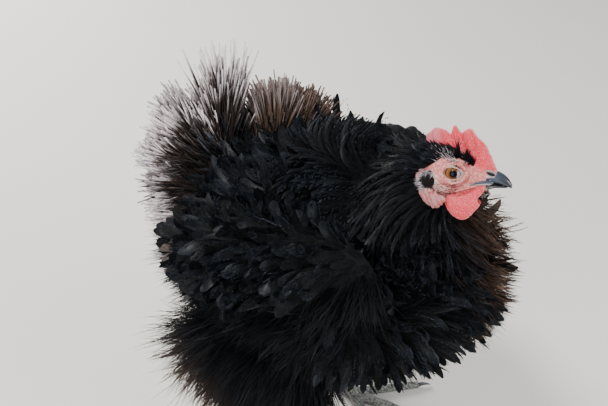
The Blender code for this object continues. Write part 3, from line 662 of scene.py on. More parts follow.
@dataclass
class Studio:
    """Pale floor that turns up into its own wall, soft lights, and the camera.

    Each lamp has its name, place, aim, size, watts and colour.
    """

    shift: Vector
    floor_radius: float = 2.6
    wall: float = 1.6
    camera_at: Vector = field(default_factory=lambda: Vector((0.2583, -0.5267, 0.6710)))
    azimuth: float = math.radians(28)
    elevation: float = math.radians(36)
    lens: float = 60.0
    sensor: float = 36.0
    sky_colour: tuple[float, ...] = (0.93, 0.95, 1.0, 1.0)
    sky_strength: float = 0.46
    lamps: tuple = (
        ("key", (-0.25, -0.50, 1.66), (0, 0, 0.2), 0.32, 25.0, (1.0, 0.98, 0.95)),
        ("back", (-1.35, 0.55, 0.75), (0, 0, 0.2), 0.6, 28.0, (1.0, 0.96, 0.93)),
        ("window", (1.35, -0.10, 0.85), (0, 0, 0.2), 0.8, 13.0, (0.95, 0.97, 1.0)),
        ("fill", (0.02, -1.30, 0.80), (0.04, 0, 0.22), 0.9, 12.0, (0.96, 0.98, 1.0)),
    )

    def build(self) -> None:
        """Sets up everything that isn't the hen."""
        self.floor()
        self.camera()
        self.sky()
        for name, at, aim, size, power, colour in self.lamps:
            self.lamp(name, Vector(at), Vector(aim), size, power, colour)

    def floor(self) -> None:
        """A disc whose rim is drawn up and out into a low bowl."""
        Bench.clear()
        bpy.ops.mesh.primitive_circle_add(vertices=96, radius=self.floor_radius, fill_type="NGON")
        floor = Bench.named("studio_floor")
        bpy.ops.object.mode_set(mode="EDIT")
        bpy.ops.mesh.select_all(action="SELECT")
        bpy.ops.mesh.extrude_region_move(TRANSFORM_OT_translate={"value": (0, 0, self.wall)})
        bpy.ops.transform.resize(value=(1.5, 1.5, 1.0), center_override=(0, 0, self.wall))
        bpy.ops.mesh.delete(type="ONLY_FACE")
        bpy.ops.object.mode_set(mode="OBJECT")
        Bench.modify(floor, "BEVEL", width=0.9, segments=10, limit_method="ANGLE")
        floor.data.shade_smooth()
        book = NodeBook("studio_floor", Specular_IOR_Level=0.2)
        grain = book.grain(3.0, 2.0)
        book.feed("Base Color", book.blend(linear(222, 218, 211), linear(229, 226, 220), grain))
        book.feed("Roughness", 0.8 + 0.1 * grain)
        floor.data.materials.append(book.material)

    def camera(self) -> None:
        """The photograph's view, with no shift."""
        data = bpy.data.cameras.new("camera")
        data.lens = self.lens
        data.sensor_width = self.sensor
        camera = bpy.data.objects.new("camera", data)
        bpy.context.scene.collection.objects.link(camera)
        level = math.cos(self.elevation)
        aside, behind = math.sin(self.azimuth) * level, -math.cos(self.azimuth) * level
        back = Vector((aside, behind, math.sin(self.elevation)))
        camera.location = self.camera_at + self.shift
        camera.rotation_euler = (-back).to_track_quat("-Z", "Y").to_euler()
        bpy.context.scene.camera = camera

    def sky(self) -> None:
        """An even pale light from all round."""
        world = bpy.data.worlds.new("studio")
        bpy.context.scene.world = world
        world.use_nodes = True
        background = world.node_tree.nodes["Background"]
        background.inputs["Color"].default_value = self.sky_colour
        background.inputs["Strength"].default_value = self.sky_strength

    @staticmethod
    def lamp(name: str, at: Vector, aim: Vector, size: float, power: float, colour: tuple) -> None:
        """One square soft light."""
        data = bpy.data.lights.new(name, "AREA")
        data.size = size
        data.energy = power
        data.color = colour
        lamp = bpy.data.objects.new(name, data)
        bpy.context.scene.collection.objects.link(lamp)
        lamp.location = at
        lamp.rotation_euler = (aim - at).to_track_quat("-Z", "Y").to_euler()


@dataclass
class Dresser:
    """Sets finished pieces in place on the hen."""

    shift: Vector

    def settle(
        self, piece: bpy.types.Object, material: bpy.types.Material, nodes: Sequence[str] = ()
    ) -> bpy.types.Object:
        """Moves a piece's mesh to its place, finishes it and ties it to the hen.

        Args:
            piece: The piece, in the solids' own first place.
            material: Its finish.
            nodes: The solids that it stands for.

        Returns:
            The piece.
        """
        piece.data.transform(Matrix.Translation(self.shift))
        piece.data.materials.clear()
        piece.data.materials.append(material)
        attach(piece, "root")
        if nodes:
            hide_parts(*nodes)
        log.info("%s: %d faces", piece.name, len(piece.data.polygons))
        return piece


@dataclass
class HeadSkin:
    """Skull, comb, lids, lobes, wattles and the corners of the mouth as one bare skin."""

    skull: tuple = (
        (-31.0, 6.0, -12.0, 8.0),
        (-26.0, 11.0, -16.5, 12.4),
        (-18.0, 14.4, -18.5, 14.2),
        (-8.0, 15.4, -18.2, 14.6),
        (2.0, 12.8, -15.6, 12.8),
        (10.0, 9.0, -13.4, 9.6),
        (19.5, 4.6, -10.6, 6.0),
    )
    comb_edge: tuple = (
        (-23.5, 21.6), (-23.2, 22.9), (-22.0, 24.0), (-20.5, 24.8),
        (-19.1, 26.5), (-17.4, 27.6), (-14.1, 27.4),
        (-10.5, 26.4), (-7.9, 24.3), (-6.9, 24.8), (-6.5, 27.8), (-5.8, 29.8), (-4.9, 30.4), (-3.6, 29.2),
        (-1.7, 26.6), (0.2, 25.6), (1.8, 27.3), (4.0, 28.9),
        (6.3, 28.8), (8.0, 26.7), (10.9, 23.5), (14.1, 21.2),
        (16.3, 19.1), (18.0, 16.5), (18.9, 14.2), (20.7, 12.7),
        (21.6, 9.3), (22.9, 7.6), (24.5, 3.9), (25.4, 2.4),
    )
    comb_foot: tuple = (
        (-23.5, 20.4), (-22.8, 17.9), (-20.3, 16.0), (-14.4, 15.6), (-10.0, 13.0), (-3.0, 11.0), (8.0, 5.0),
        (16.0, 3.0), (25.4, 1.0),
    )
    comb_thick: tuple = (
        (-23.5, 1.0), (-21.5, 2.2), (-18.0, 2.8), (-4.0, 2.7), (10.0, 4.2), (20.0, 3.9), (25.4, 1.5),
    )
    lobe_edges: tuple = (
        (-22.8, -10.6, -12.8), (-21.4, -9.4, -16.0), (-19.6, -9.2, -18.4), (-17.2, -9.8, -20.7),
        (-13.6, -11.2, -23.0), (-10.5, -13.2, -24.2), (-7.6, -14.8, -22.8),
        (-5.2, -15.8, -20.4), (-3.6, -17.0, -18.4),
    )
    wattle_edges: tuple = (
        (-7.8, 6.0, 18.8), (-9.8, 2.0, 19.0), (-13.4, -2.8, 17.0), (-15.6, -4.2, 15.6), (-16.8, -5.0, 15.6),
        (-18.0, -5.2, 17.2), (-19.6, -5.2, 17.7), (-21.0, -4.8, 16.8),
        (-22.8, -3.8, 15.3), (-26.1, -1.2, 12.9), (-28.7, 2.6, 10.2),
        (-29.8, 5.4, 7.8),
    )
    comb_lean: float = -1.2
    folds: float = 5.5
    eye_fold: tuple = (
        (-12.9, -3.2), (-11.2, -5.4), (-8.3, -7.5), (-1.7, -9.6), (3.5, -8.7), (8.2, -4.5), (10.4, -0.6),
    )
    mouth_line: tuple = (
        (16.0, -7.4), (10.5, -9.7), (6.0, -11.4), (1.5, -13.0), (-1.9, -14.2), (-5.4, -14.8),
    )
    voxel: float = 0.44
    trees: dict = field(default_factory=dict)

    def build(self) -> bpy.types.Object:
        """Makes the head's skin in millimetres and melts it into one surface."""
        skull = self.skull_form()
        cutters = []
        for _, way in SIDES:
            cutters.append(Bench.ball("socket", self.sided(EYE_AT, way), [EYE_RADIUS + 0.25] * 3))
            cutters.append(Bench.ball("opening", (-0.5, way * 14.2, -0.3), (6.5, 4.4, 4.7)))
            cutters.append(Bench.ball("ear_cup", self.sided(EAR_AT, way), (3.0, 3.4, 3.4)))
        Bench.cut(skull, cutters)
        groups = {
            "skull": [skull], "comb": [self.comb_form()], "lid": [], "lobe": [], "wattle": [], "gape": [],
        }
        for _, way in SIDES:
            groups["lid"] += self.lids(way)
            groups["skull"].append(self.brow(way))
            groups["gape"].append(self.gape(way))
            groups["lobe"].append(self.lobe(way))
            groups["wattle"].append(self.wattle(way))
        forms = []
        for name, pieces in groups.items():
            form = Bench.joined(name, pieces)
            self.trees[name] = Bench.tree(form)
            forms.append(form)
        head = Bench.fused("skin", forms, self.voxel, 3)
        self.relief(head.data)
        return head

    @staticmethod
    def sided(at: Vector, way: int) -> Vector:
        """A right-hand or left-hand place."""
        return Vector((at.x, way * at.y, at.z))

    def skull_form(self) -> bpy.types.Object:
        """The skull with its cheeks, through the solids' own stations."""
        table = np.array(self.skull)
        stations = []
        for x in np.linspace(table[0, 0], table[-1, 0], 34):
            top, low, half = (float(curve(table[:, [0, k]], x)) for k in (1, 2, 3))
            stations.append((x, 0.0, (top + low) / 2, half, (top - low) / 2))
        return Bench.lofted("skull", stations, 40, 2.2)

    def comb_form(self) -> bpy.types.Object:
        """The comb, thinned towards its upper edge and leaning a little."""
        places, edge = np.array(self.comb_edge).T
        stations = []
        for x in np.linspace(places[0], places[-1], 100):
            top, foot = float(np.interp(x, places, edge)), float(curve(self.comb_foot, x))
            half = max((top - foot) / 2, 0.3)
            stations.append((x, 0.0, (top + foot) / 2, float(curve(self.comb_thick, x)), half))
        comb = Bench.lofted("comb", stations, 22, 3.0)
        for vert in comb.data.vertices:
            foot = float(curve(self.comb_foot, vert.co.x))
            high = smooth_step((vert.co.z - foot) / 14.0)
            wave = 0.55 * math.sin(0.9 * vert.co.x + 0.35 * vert.co.z)
            vert.co.y = vert.co.y * mix(1.0, 0.52, high) + (self.comb_lean + wave) * high
        return comb

    def lids(self, way: int) -> list[bpy.types.Object]:
        """The beaded rim of both lids lying on the eyeball, and the soft fold round them."""
        rings = []
        rims = ((5.3, 0.62, 1.13, 0.79, True), (7.6, 0.9, 1.16, 0.86, False))
        for reach, thick, wide, high, on_eye in rims:
            Bench.clear()
            bpy.ops.mesh.primitive_torus_add(
                major_radius=reach, minor_radius=thick, major_segments=52, minor_segments=10,
                location=(0, 0, 0), rotation=(math.pi / 2, 0, 0),
            )
            ring = Bench.named("lid")
            for vert in ring.data.vertices:
                x, z = vert.co.x * wide - 0.3 - 0.4 * (vert.co.z / reach) ** 2, vert.co.z * high - 0.2
                spot = (x / 6.5) ** 2 + (z / 6.5) ** 2
                out = 6.35 * math.sqrt(max(1 - spot, 0.06)) if on_eye else 4.3 - 0.020 * x * x
                vert.co = (EYE_AT.x + x + 0.5, way * (EYE_AT.y + out) + vert.co.y, EYE_AT.z + z + 0.5)
            rings.append(ring)
        return rings

    @staticmethod
    def brow(way: int) -> bpy.types.Object:
        """The ridge over an eye."""
        at = (EYE_AT.x + 1.0, way * (EYE_AT.y + 1.6), EYE_AT.z + 8.2)
        return Bench.ball("brow", at, (8.4, 2.8, 2.5), 0.0, 20)

    @staticmethod
    def gape(way: int) -> bpy.types.Object:
        """The soft corner of the mouth, running back under the eye."""
        stations = []
        for x in np.linspace(1.0, 16.5, 16):
            y = float(curve(((1.0, 11.6), (9.0, 9.3), (16.5, 6.2)), x))
            z = float(curve(((1.0, -12.4), (9.0, -9.2), (16.5, -6.9)), x))
            thick = float(curve(((1.0, 0.5), (6.0, 1.6), (11.0, 1.7), (16.5, 0.9)), x))
            stations.append((x, way * y, z, thick, thick * 0.8))
        return Bench.lofted("gape", stations, 12)

    def lobe(self, way: int) -> bpy.types.Object:
        """A round earlobe."""
        table = np.array(self.lobe_edges)
        stations = []
        for t in np.linspace(0.02, 0.98, 56):
            x = mix(table[0, 0], table[-1, 0], t)
            top, low = (float(curve(table[:, [0, k]], x)) for k in (1, 2))
            thick = 2.7 * math.sin(math.pi * t) ** 0.5
            stations.append((x, way * 12.9, (top + low) / 2, thick, (top - low) / 2))
        return Bench.lofted("lobe", stations, 18)

    def wattle(self, way: int) -> bpy.types.Object:
        """A round thin lobe, hung from the jaw, with a notch in its front edge."""
        table = np.array(self.wattle_edges)
        stations = []
        for t in np.linspace(0, 1, 46):
            level = mix(table[0, 0], table[-1, 0], t)
            rear, front = (float(curve(table[::-1, [0, k]], level)) for k in (1, 2))
            front -= 1.3 * (1 + way)
            thick = 1.3 * min(1.0, 0.35 + 4 * (1 - t)) * mix(1.15, 0.9, t)
            aside = way * mix(5.6, 9.2, smooth_step(1.5 * t))
            stations.append((-level, aside, (front + rear) / 2, thick, (front - rear) / 2))
        drop = Bench.lofted("wattle", stations, 26, 2.3)
        drop.data.transform(Matrix(((0, 0, 1, 0), (0, 1, 0, 0), (-1, 0, 0, 0), (0, 0, 0, 1))))
        return drop

    @staticmethod
    def line_distance(x: np.ndarray, z: np.ndarray, line: Sequence[tuple[float, float]]) -> np.ndarray:
        """Distance from each side-view place to a bent line."""
        best = np.full(len(x), 1e3)
        for (x0, z0), (x1, z1) in zip(line, line[1:]):
            run = (x1 - x0, z1 - z0)
            t = np.clip(((x - x0) * run[0] + (z - z0) * run[1]) / (run[0] ** 2 + run[1] ** 2), 0, 1)
            best = np.minimum(best, np.hypot(x - x0 - t * run[0], z - z0 - t * run[1]))
        return best

    def hem(self, x: np.ndarray, z: np.ndarray) -> np.ndarray:
        """Distance from each side-view place to the wattles' outline."""
        fall = [(z_, rear, front) for z_, rear, front in self.wattle_edges]
        line = [(rear, z_) for z_, rear, _ in fall] + [(front, z_) for z_, _, front in reversed(fall)]
        return self.line_distance(x, z, line)

    def relief(self, mesh: bpy.types.Mesh) -> None:
        """Raises the skin's pebbles, wrinkles and folds, stains its zones and the painted shade of its
        creases.
        """
        points, normals = points_of(mesh).astype(float), normals_of(mesh).astype(float)
        away = {
            name: np.array([tree.find_nearest(Vector(p))[3] for p in points.tolist()])
            for name, tree in self.trees.items()
        }
        x, y, z = points.T
        beside = np.abs(y)
        red = smooth_step((0.9 - np.minimum(away["comb"], away["wattle"])) / 0.7)
        brow_line = curve(((8.0, 8.5), (10.1, 5.6), (12.6, 3.0), (16.2, 1.8), (20.0, 2.4), (23.8, 2.4)), x)
        red = np.maximum(red, smooth_step((z - brow_line) / 4.0) * smooth_step((x - 8.0) / 3.0))
        lobe = smooth_step((0.9 - away["lobe"]) / 0.7) * (1 - red)
        from_eye = np.hypot((x + 0.8) * 0.9, (z + 0.6) * 1.3)
        rim = smooth_step((0.62 - away["lid"]) / 0.3) * smooth_step((7.4 - from_eye) / 0.6)
        rough = roughness_at(points, 0.75)
        fine = roughness_at(points, 1.6)
        eye = np.hypot((x - EYE_AT.x) * 0.86, z - EYE_AT.z)
        under = smooth_step((4.0 - z) / 6.0)
        ripple = np.sin(2 * math.pi * (eye / 1.35 + 0.55 * rough)) * smooth_step((eye - 6.4) / 1.5)
        ripple = ripple * smooth_step((17.0 - eye) / 5.0) * mix(0.5, 1.0, under)
        side = smooth_step((beside - 4.0) / 3.0)
        face = (1 - red) * (1 - rim) * side
        fold = np.exp(-((self.line_distance(x, z, self.eye_fold) / 0.55) ** 2)) * face
        mouth = np.exp(-((self.line_distance(x, z, self.mouth_line) / 0.60) ** 2)) * side * (1 - red)
        pleat = 2 * math.pi * self.folds * ((x + 22.8) / 19.2 + 0.030 * (z + 16.0) + 0.05 * rough)
        wave = np.cos(pleat + 1.2 * np.sin(0.5 * pleat)) * lobe
        lift = 0.10 * ripple * face + 0.16 * fine + 0.12 * rough * face + 0.16 * red * fine + 0.34 * wave
        moved = points + normals * (lift - 0.7 * mouth - 0.45 * fold)[:, None]
        mesh.vertices.foreach_set("co", moved.astype(np.float32).ravel())
        covered = self.feather_edge(points) * (1 - red) * (1 - lobe) * smooth_step((away["lid"] - 0.5) / 1.0)
        # Painted shade: darker in the wrinkle valleys, the mouth groove, the eye fold and the lobe's folds.
        crease_shade = np.clip(0.26 * smooth_step(-ripple * 1.4) * face + 0.9 * mouth + 0.5 * fold, 0, 1)
        crease_shade = np.maximum(crease_shade, 0.42 * smooth_step(-1.3 * wave - 0.1))
        ear = np.hypot(x - EAR_AT.x + 0.6, z - EAR_AT.z)
        grey = smooth_step((7.6 - ear) / 2.2) * (1 - 0.6 * lobe)
        cheek = smooth_step((-1.0 - x) / 5.0) * smooth_step((-6.5 - z) / 3.0) * (1 - lobe)
        grey = np.maximum(grey, 0.55 * cheek) * (1 - red)
        outline = np.minimum(self.line_distance(x, z, self.comb_edge), self.hem(x, z))
        edge = smooth_step((0.75 - outline) / 0.6) * red
        stain(mesh, "trim", np.stack((edge, rim * (1 - red), grey * side, np.zeros_like(x)), 1))
        lobe = np.maximum(lobe, red * smooth_step((-9.0 - x) / 9.0) * smooth_step((z - 12.0) / 3.0))
        stain(mesh, "flesh", np.stack((red, lobe, covered, crease_shade), 1))

    @staticmethod
    def bare(mesh: bpy.types.Mesh) -> BVHTree:
        """A search tree of the faces that no feather covers."""
        open_skin = dye_of(mesh, "flesh")[:, 2] < 0.3
        faces = [tuple(p.vertices) for p in mesh.polygons if open_skin[p.vertices[0]]]
        return BVHTree.FromPolygons([v.co for v in mesh.vertices], faces)

    @staticmethod
    def feather_edge(points: np.ndarray) -> np.ndarray:
        """How far the head's small feathers cover each point, from 0 on the bare face to 1."""
        x, y, z = points.T
        edge = (
            (-27.0, -5.0), (-24.0, -2.2), (-20.0, 0.4), (-16.7, 2.5),
            (-14.5, 4.4), (-11.7, 6.1), (-10.1, 7.8),
            (-7.3, 9.2), (-4.0, 11.0), (-1.8, 11.8), (0.6, 11.2),
            (3.1, 10.0), (5.5, 8.6), (9.2, 6.9), (12.0, 6.6),
        )
        above = smooth_step((z - curve(edge, x)) / 1.2) * smooth_step((10.5 - x) / 2.0)
        behind = smooth_step((-24.4 - x) / 1.2)
        throat = smooth_step((-15.5 - z) / 1.5) * smooth_step((5.5 - np.abs(y)) / 2.0)
        return np.maximum(np.maximum(above, behind), throat)


@dataclass
class Hide:
    """The skin under the coat: body, neck, wing and thigh muscles and tail root."""

    voxel: float = 0.0026
    trees: dict = field(default_factory=dict)

    def build(self) -> bpy.types.Object:
        """Makes the covered skin and keeps search trees of its regions."""
        forms = {"body": self.body(), "neck": self.neck()}
        inner = [v - UNDER_COAT for v in WING_SIZE]
        ham = [v - UNDER_COAT for v in THIGH_SIZE]
        for side, way in SIDES:
            wing_at = (WING_AT.x, way * WING_AT.y, WING_AT.z)
            thigh_at = (THIGH_AT.x, way * THIGH_AT.y, THIGH_AT.z)
            forms[f"wing_{side}"] = Bench.ball("wing", wing_at, inner, -WING_PITCH)
            forms[f"thigh_{side}"] = Bench.ball("thigh", thigh_at, ham, THIGH_TURN)
        forms["tail"] = Bench.ball("tail", TAIL_AT, [TAIL_RADIUS - UNDER_COAT] * 3)
        self.trees = {name: Bench.tree(form) for name, form in forms.items()}
        hide = Bench.fused("hide", list(forms.values()), self.voxel, 4)
        points = points_of(hide.data)
        names = np.array(list(self.trees))
        away = [[tree.find_nearest(Vector(p))[3] for p in points.tolist()] for tree in self.trees.values()]
        self.region = names[np.argmin(np.array(away), axis=0)]
        self.points, self.normals = points, normals_of(hide.data)
        dye = np.zeros((len(points), 4))
        dye[:, 2] = 1.0
        stain(hide.data, "flesh", dye)
        return hide

    @staticmethod
    def body() -> bpy.types.Object:
        """The egg of the body."""
        size = [v - BODY_DEPTH for v in BODY_OUTLINE]
        stations = []
        for angle in np.linspace(0.06, math.pi - 0.06, 30):
            along = -math.cos(angle)
            swell = math.sqrt(1 - along * along) * (1 + BODY_EGG * along)
            upper = size[2] * swell * (1 - SHOULDER_DROP * float(smooth_step((along - 0.05) / 0.6)))
            lower = size[2] * swell
            middle, high = (upper - lower) / 2, (upper + lower) / 2
            stations.append((size[0] * along, 0.0, middle, size[1] * swell, high))
        egg = Bench.lofted("body", stations, 40, 2.15)
        egg.data.transform(Matrix.Translation(BODY_AT) @ Matrix.Rotation(-BODY_PITCH, 4, "Y"))
        return egg

    @staticmethod
    def neck() -> bpy.types.Object:
        """The cone of the neck, drawn upwards from inside the body."""
        share = [i / (len(NECK_LINE) - 1) for i in range(len(NECK_LINE))]
        stations = []
        for t in np.linspace(0, 1, 16):
            lines = ([(a, p[k]) for a, (p, _, _) in zip(share, NECK_LINE)] for k in range(3))
            x, y, z = (float(curve(line, t)) for line in lines)
            radii = [(a, r - NECK_DEPTH_SHARE * d) for a, (_, r, d) in zip(share, NECK_LINE)]
            radius = float(curve(radii, t))
            stations.append((z, y, -x, radius, radius))
        neck = Bench.lofted("neck", stations, 32)
        neck.data.transform(Matrix(((0, 0, -1, 0), (0, 1, 0, 0), (1, 0, 0, 0), (0, 0, 0, 1))))
        return neck

    def roots(self, name: str, spacing: float, seed: int) -> Iterator[tuple[Vector, Vector]]:
        """Evenly scattered places on one region's skin.

        Args:
            name: The region.
            spacing: Least distance between two places.
            seed: Start of the scatter.

        Yields:
            Each place and the skin's normal there.
        """
        own = self.region == name
        points, normals = self.points[own], self.normals[own]
        for i in scattered(points, spacing, np.random.default_rng(seed)):
            yield Vector(points[i]), Vector(normals[i])


@dataclass(frozen=True)
class Form:
    """The make of one kind of feather.

    Section points are shares of the half width and of the shaft's height. Barbs stand along both
    sides of the vane and give it its loose edge.
    """

    outline: tuple[tuple[float, float], ...]
    rings: int
    thick: float = 0.4 * MM
    section: tuple[tuple[float, float], ...] = ((-1.0, 0.0), (0.0, 1.0), (1.0, 0.0), (0.0, -0.35))
    ragged: float = 0.0
    cup: float = 0.0
    sweep: float = 0.18
    strands: int = 1
    spread: float = 0.0
    fan: float = 0.0
    uneven: float = 0.38
    barbs: int = 0
    core: float = 1.0
    barb_long: float = 0.6
    barb_lean: float = 1.6
    loose: float = 0.16


STRAND = ((-1.0, -0.6), (0.0, 1.0), (1.0, -0.6))


class Kind(Enum):
    """The kinds of feather that she wears."""

    PETAL = Form(
        ((0, 0.30), (0.2, 0.72), (0.45, 1.0), (0.75, 0.98), (0.92, 0.70), (1, 0.22)),
        11, ragged=0.22, cup=-0.22,
        barbs=15, core=0.70, barb_long=0.50, barb_lean=1.2,
    )
    COVERT = Form(
        ((0, 0.35), (0.2, 0.80), (0.5, 1.0), (0.8, 0.93), (0.94, 0.62), (1, 0.18)),
        11, ragged=0.20, cup=-0.20,
        barbs=14, core=0.74, barb_long=0.46, loose=0.10,
    )
    QUILL = Form(
        ((0, 0.40), (0.2, 0.86), (0.5, 1.0), (0.8, 0.97), (0.93, 0.72), (1, 0.20)),
        14, ragged=0.20, cup=-0.15,
        barbs=20, core=0.80, barb_long=0.36, loose=0.08,
    )
    HACKLE = Form(
        ((0, 0.55), (0.3, 1.0), (0.6, 0.86), (0.85, 0.50), (1, 0.06)), 10, ragged=0.22, cup=-0.35,
        barbs=9, core=0.70, barb_long=0.9, barb_lean=2.8, loose=0.16,
    )
    SCALE = Form(((0, 0.45), (0.4, 1.0), (0.75, 0.85), (1, 0.12)), 6, 0.25 * MM, ragged=0.2, cup=-0.3)
    PLUME = Form(
        ((0, 0.35), (0.3, 0.9), (0.6, 1.0), (0.85, 0.7), (1, 0.10)), 9, ragged=0.5, cup=-0.1,
        barbs=26, core=0.22, barb_long=1.25, barb_lean=2.2, loose=0.34,
    )
    BRUSH = Form(
        ((0, 0.25), (0.4, 0.5), (0.75, 0.95), (0.92, 1.0), (1, 0.6)), 9, ragged=0.6, cup=-0.25,
        barbs=30, core=0.30, barb_long=0.80, barb_lean=2.0, loose=0.22,
    )
    FLUFF = Form(((0, 1.0), (0.5, 0.8), (1, 0.08)), 4, 0.0, STRAND, strands=25, spread=0.0032, fan=0.30)
    FRINGE = Form(
        ((0, 0.5), (0.7, 1.0), (1, 0.7)), 4, 0.0, STRAND, strands=16, spread=0.0032, fan=0.12, uneven=0.12,
    )
    BRISTLE = Form(((0, 1.0), (0.6, 0.7), (1, 0.10)), 4, 0.0, STRAND)


@dataclass
class Web:
    """Closed pieces as plain arrays: points, faces, and what each point needs for its finish."""

    points: np.ndarray
    loops: np.ndarray
    sizes: np.ndarray
    owner: np.ndarray
    along: np.ndarray
    across: np.ndarray

    @staticmethod
    def repeated(
        points: np.ndarray, faces: Sequence[np.ndarray], along: np.ndarray, across: np.ndarray
    ) -> "Web":
        """Repeats one piece's faces over many pieces.

        Args:
            points: Pieces by points by three numbers.
            faces: One piece's faces, as arrays of point numbers, each array of one corner count.
            along: Each point's share of the way to its feather's tip.
            across: Each point's share of the way from shaft to edge, with its side's sign.

        Returns:
            The joined pieces, each its own owner.
        """
        count, each = points.shape[:2]
        loops_each = np.concatenate([f.ravel() for f in faces])
        sizes_each = np.concatenate([np.full(len(f), f.shape[1]) for f in faces])
        loops = (loops_each[None, :] + np.arange(count)[:, None] * each).ravel()
        spread = [np.broadcast_to(value, (count, each)).ravel() for value in (along, across)]
        owner = np.repeat(np.arange(count), each)
        return Web(points.reshape(-1, 3), loops, np.tile(sizes_each, count), owner, *spread)

    def plus(self, other: "Web") -> "Web":
        """Both webs in one."""
        loops = np.concatenate((self.loops, other.loops + len(self.points)))
        names = ("sizes", "owner", "along", "across")
        rest = (np.concatenate((getattr(self, n), getattr(other, n))) for n in names)
        return Web(np.concatenate((self.points, other.points)), loops, *rest)


class Luck:
    """Seeded chance, drawn in one fixed order."""

    def __init__(self, seed: int) -> None:
        """Starts the draws at a seed."""
        self.draw = np.random.default_rng(seed)

    def span(self, low: float = 0.0, high: float = 1.0) -> float:
        """A number between two others."""
        return float(self.draw.uniform(low, high))

    def near(self, middle: float, spread: float) -> float:
        """A number about a middle one, with that standard deviation."""
        return float(self.draw.normal(middle, spread))

    def chance(self, share: float) -> bool:
        """True that share of the time."""
        return self.span() < share

    def pick(self, *values: float) -> float:
        """One of some values."""
        return float(self.draw.choice(values))

    def turned(self, lie: Vector, normal: Vector, spread: float) -> Vector:
        """A direction turned about the normal by some radians to either side."""
        return Matrix.Rotation(self.near(0, spread), 3, normal) @ lie


SPIKES = {
    1: ((0, 1, 2), (1, 0, 3), (2, 1, 3), (0, 2, 3)),
    -1: ((0, 2, 1), (0, 1, 3), (1, 2, 3), (2, 0, 3)),
}


@dataclass(frozen=True)
class Stance:
    """How one kind of feather stands: its width in metres, then angles in degrees.

    Lift and curl are spans; bend and twist are spreads to both sides.
    """

    width: float
    lift: tuple[float, float]
    curl: tuple[float, float]
    bend: float
    twist: float = 0.0

    def drawn(self, luck: Luck, share: float | None = None) -> tuple[float, ...]:
        """Draws one feather's stance.

        Args:
            luck: Where the draws come from.
            share: How far its curl lies along its span; None draws it.

        Returns:
            Width, lift, curl, bend and twist.
        """
        lift = luck.span(*self.lift)
        curl = luck.span(*self.curl) if share is None else mix(*self.curl, share)
        bend = luck.near(0, self.bend)
        twist = luck.near(0, self.twist) if self.twist else 0.0
        return self.width, lift, curl, bend, twist


@dataclass
class Root:
    """Where a feather leaves the skin, and what it carries from there.

    The dye is brown, pale and tone, each 0 to 1; pale is the own paleness of the head's hairs, and
    painted highlight on the rump, tail and wings. The place is on an unwrap of the skin.
    """

    at: Vector
    normal: Vector
    lie: Vector
    dye: Sequence[float]
    place: Sequence[float]


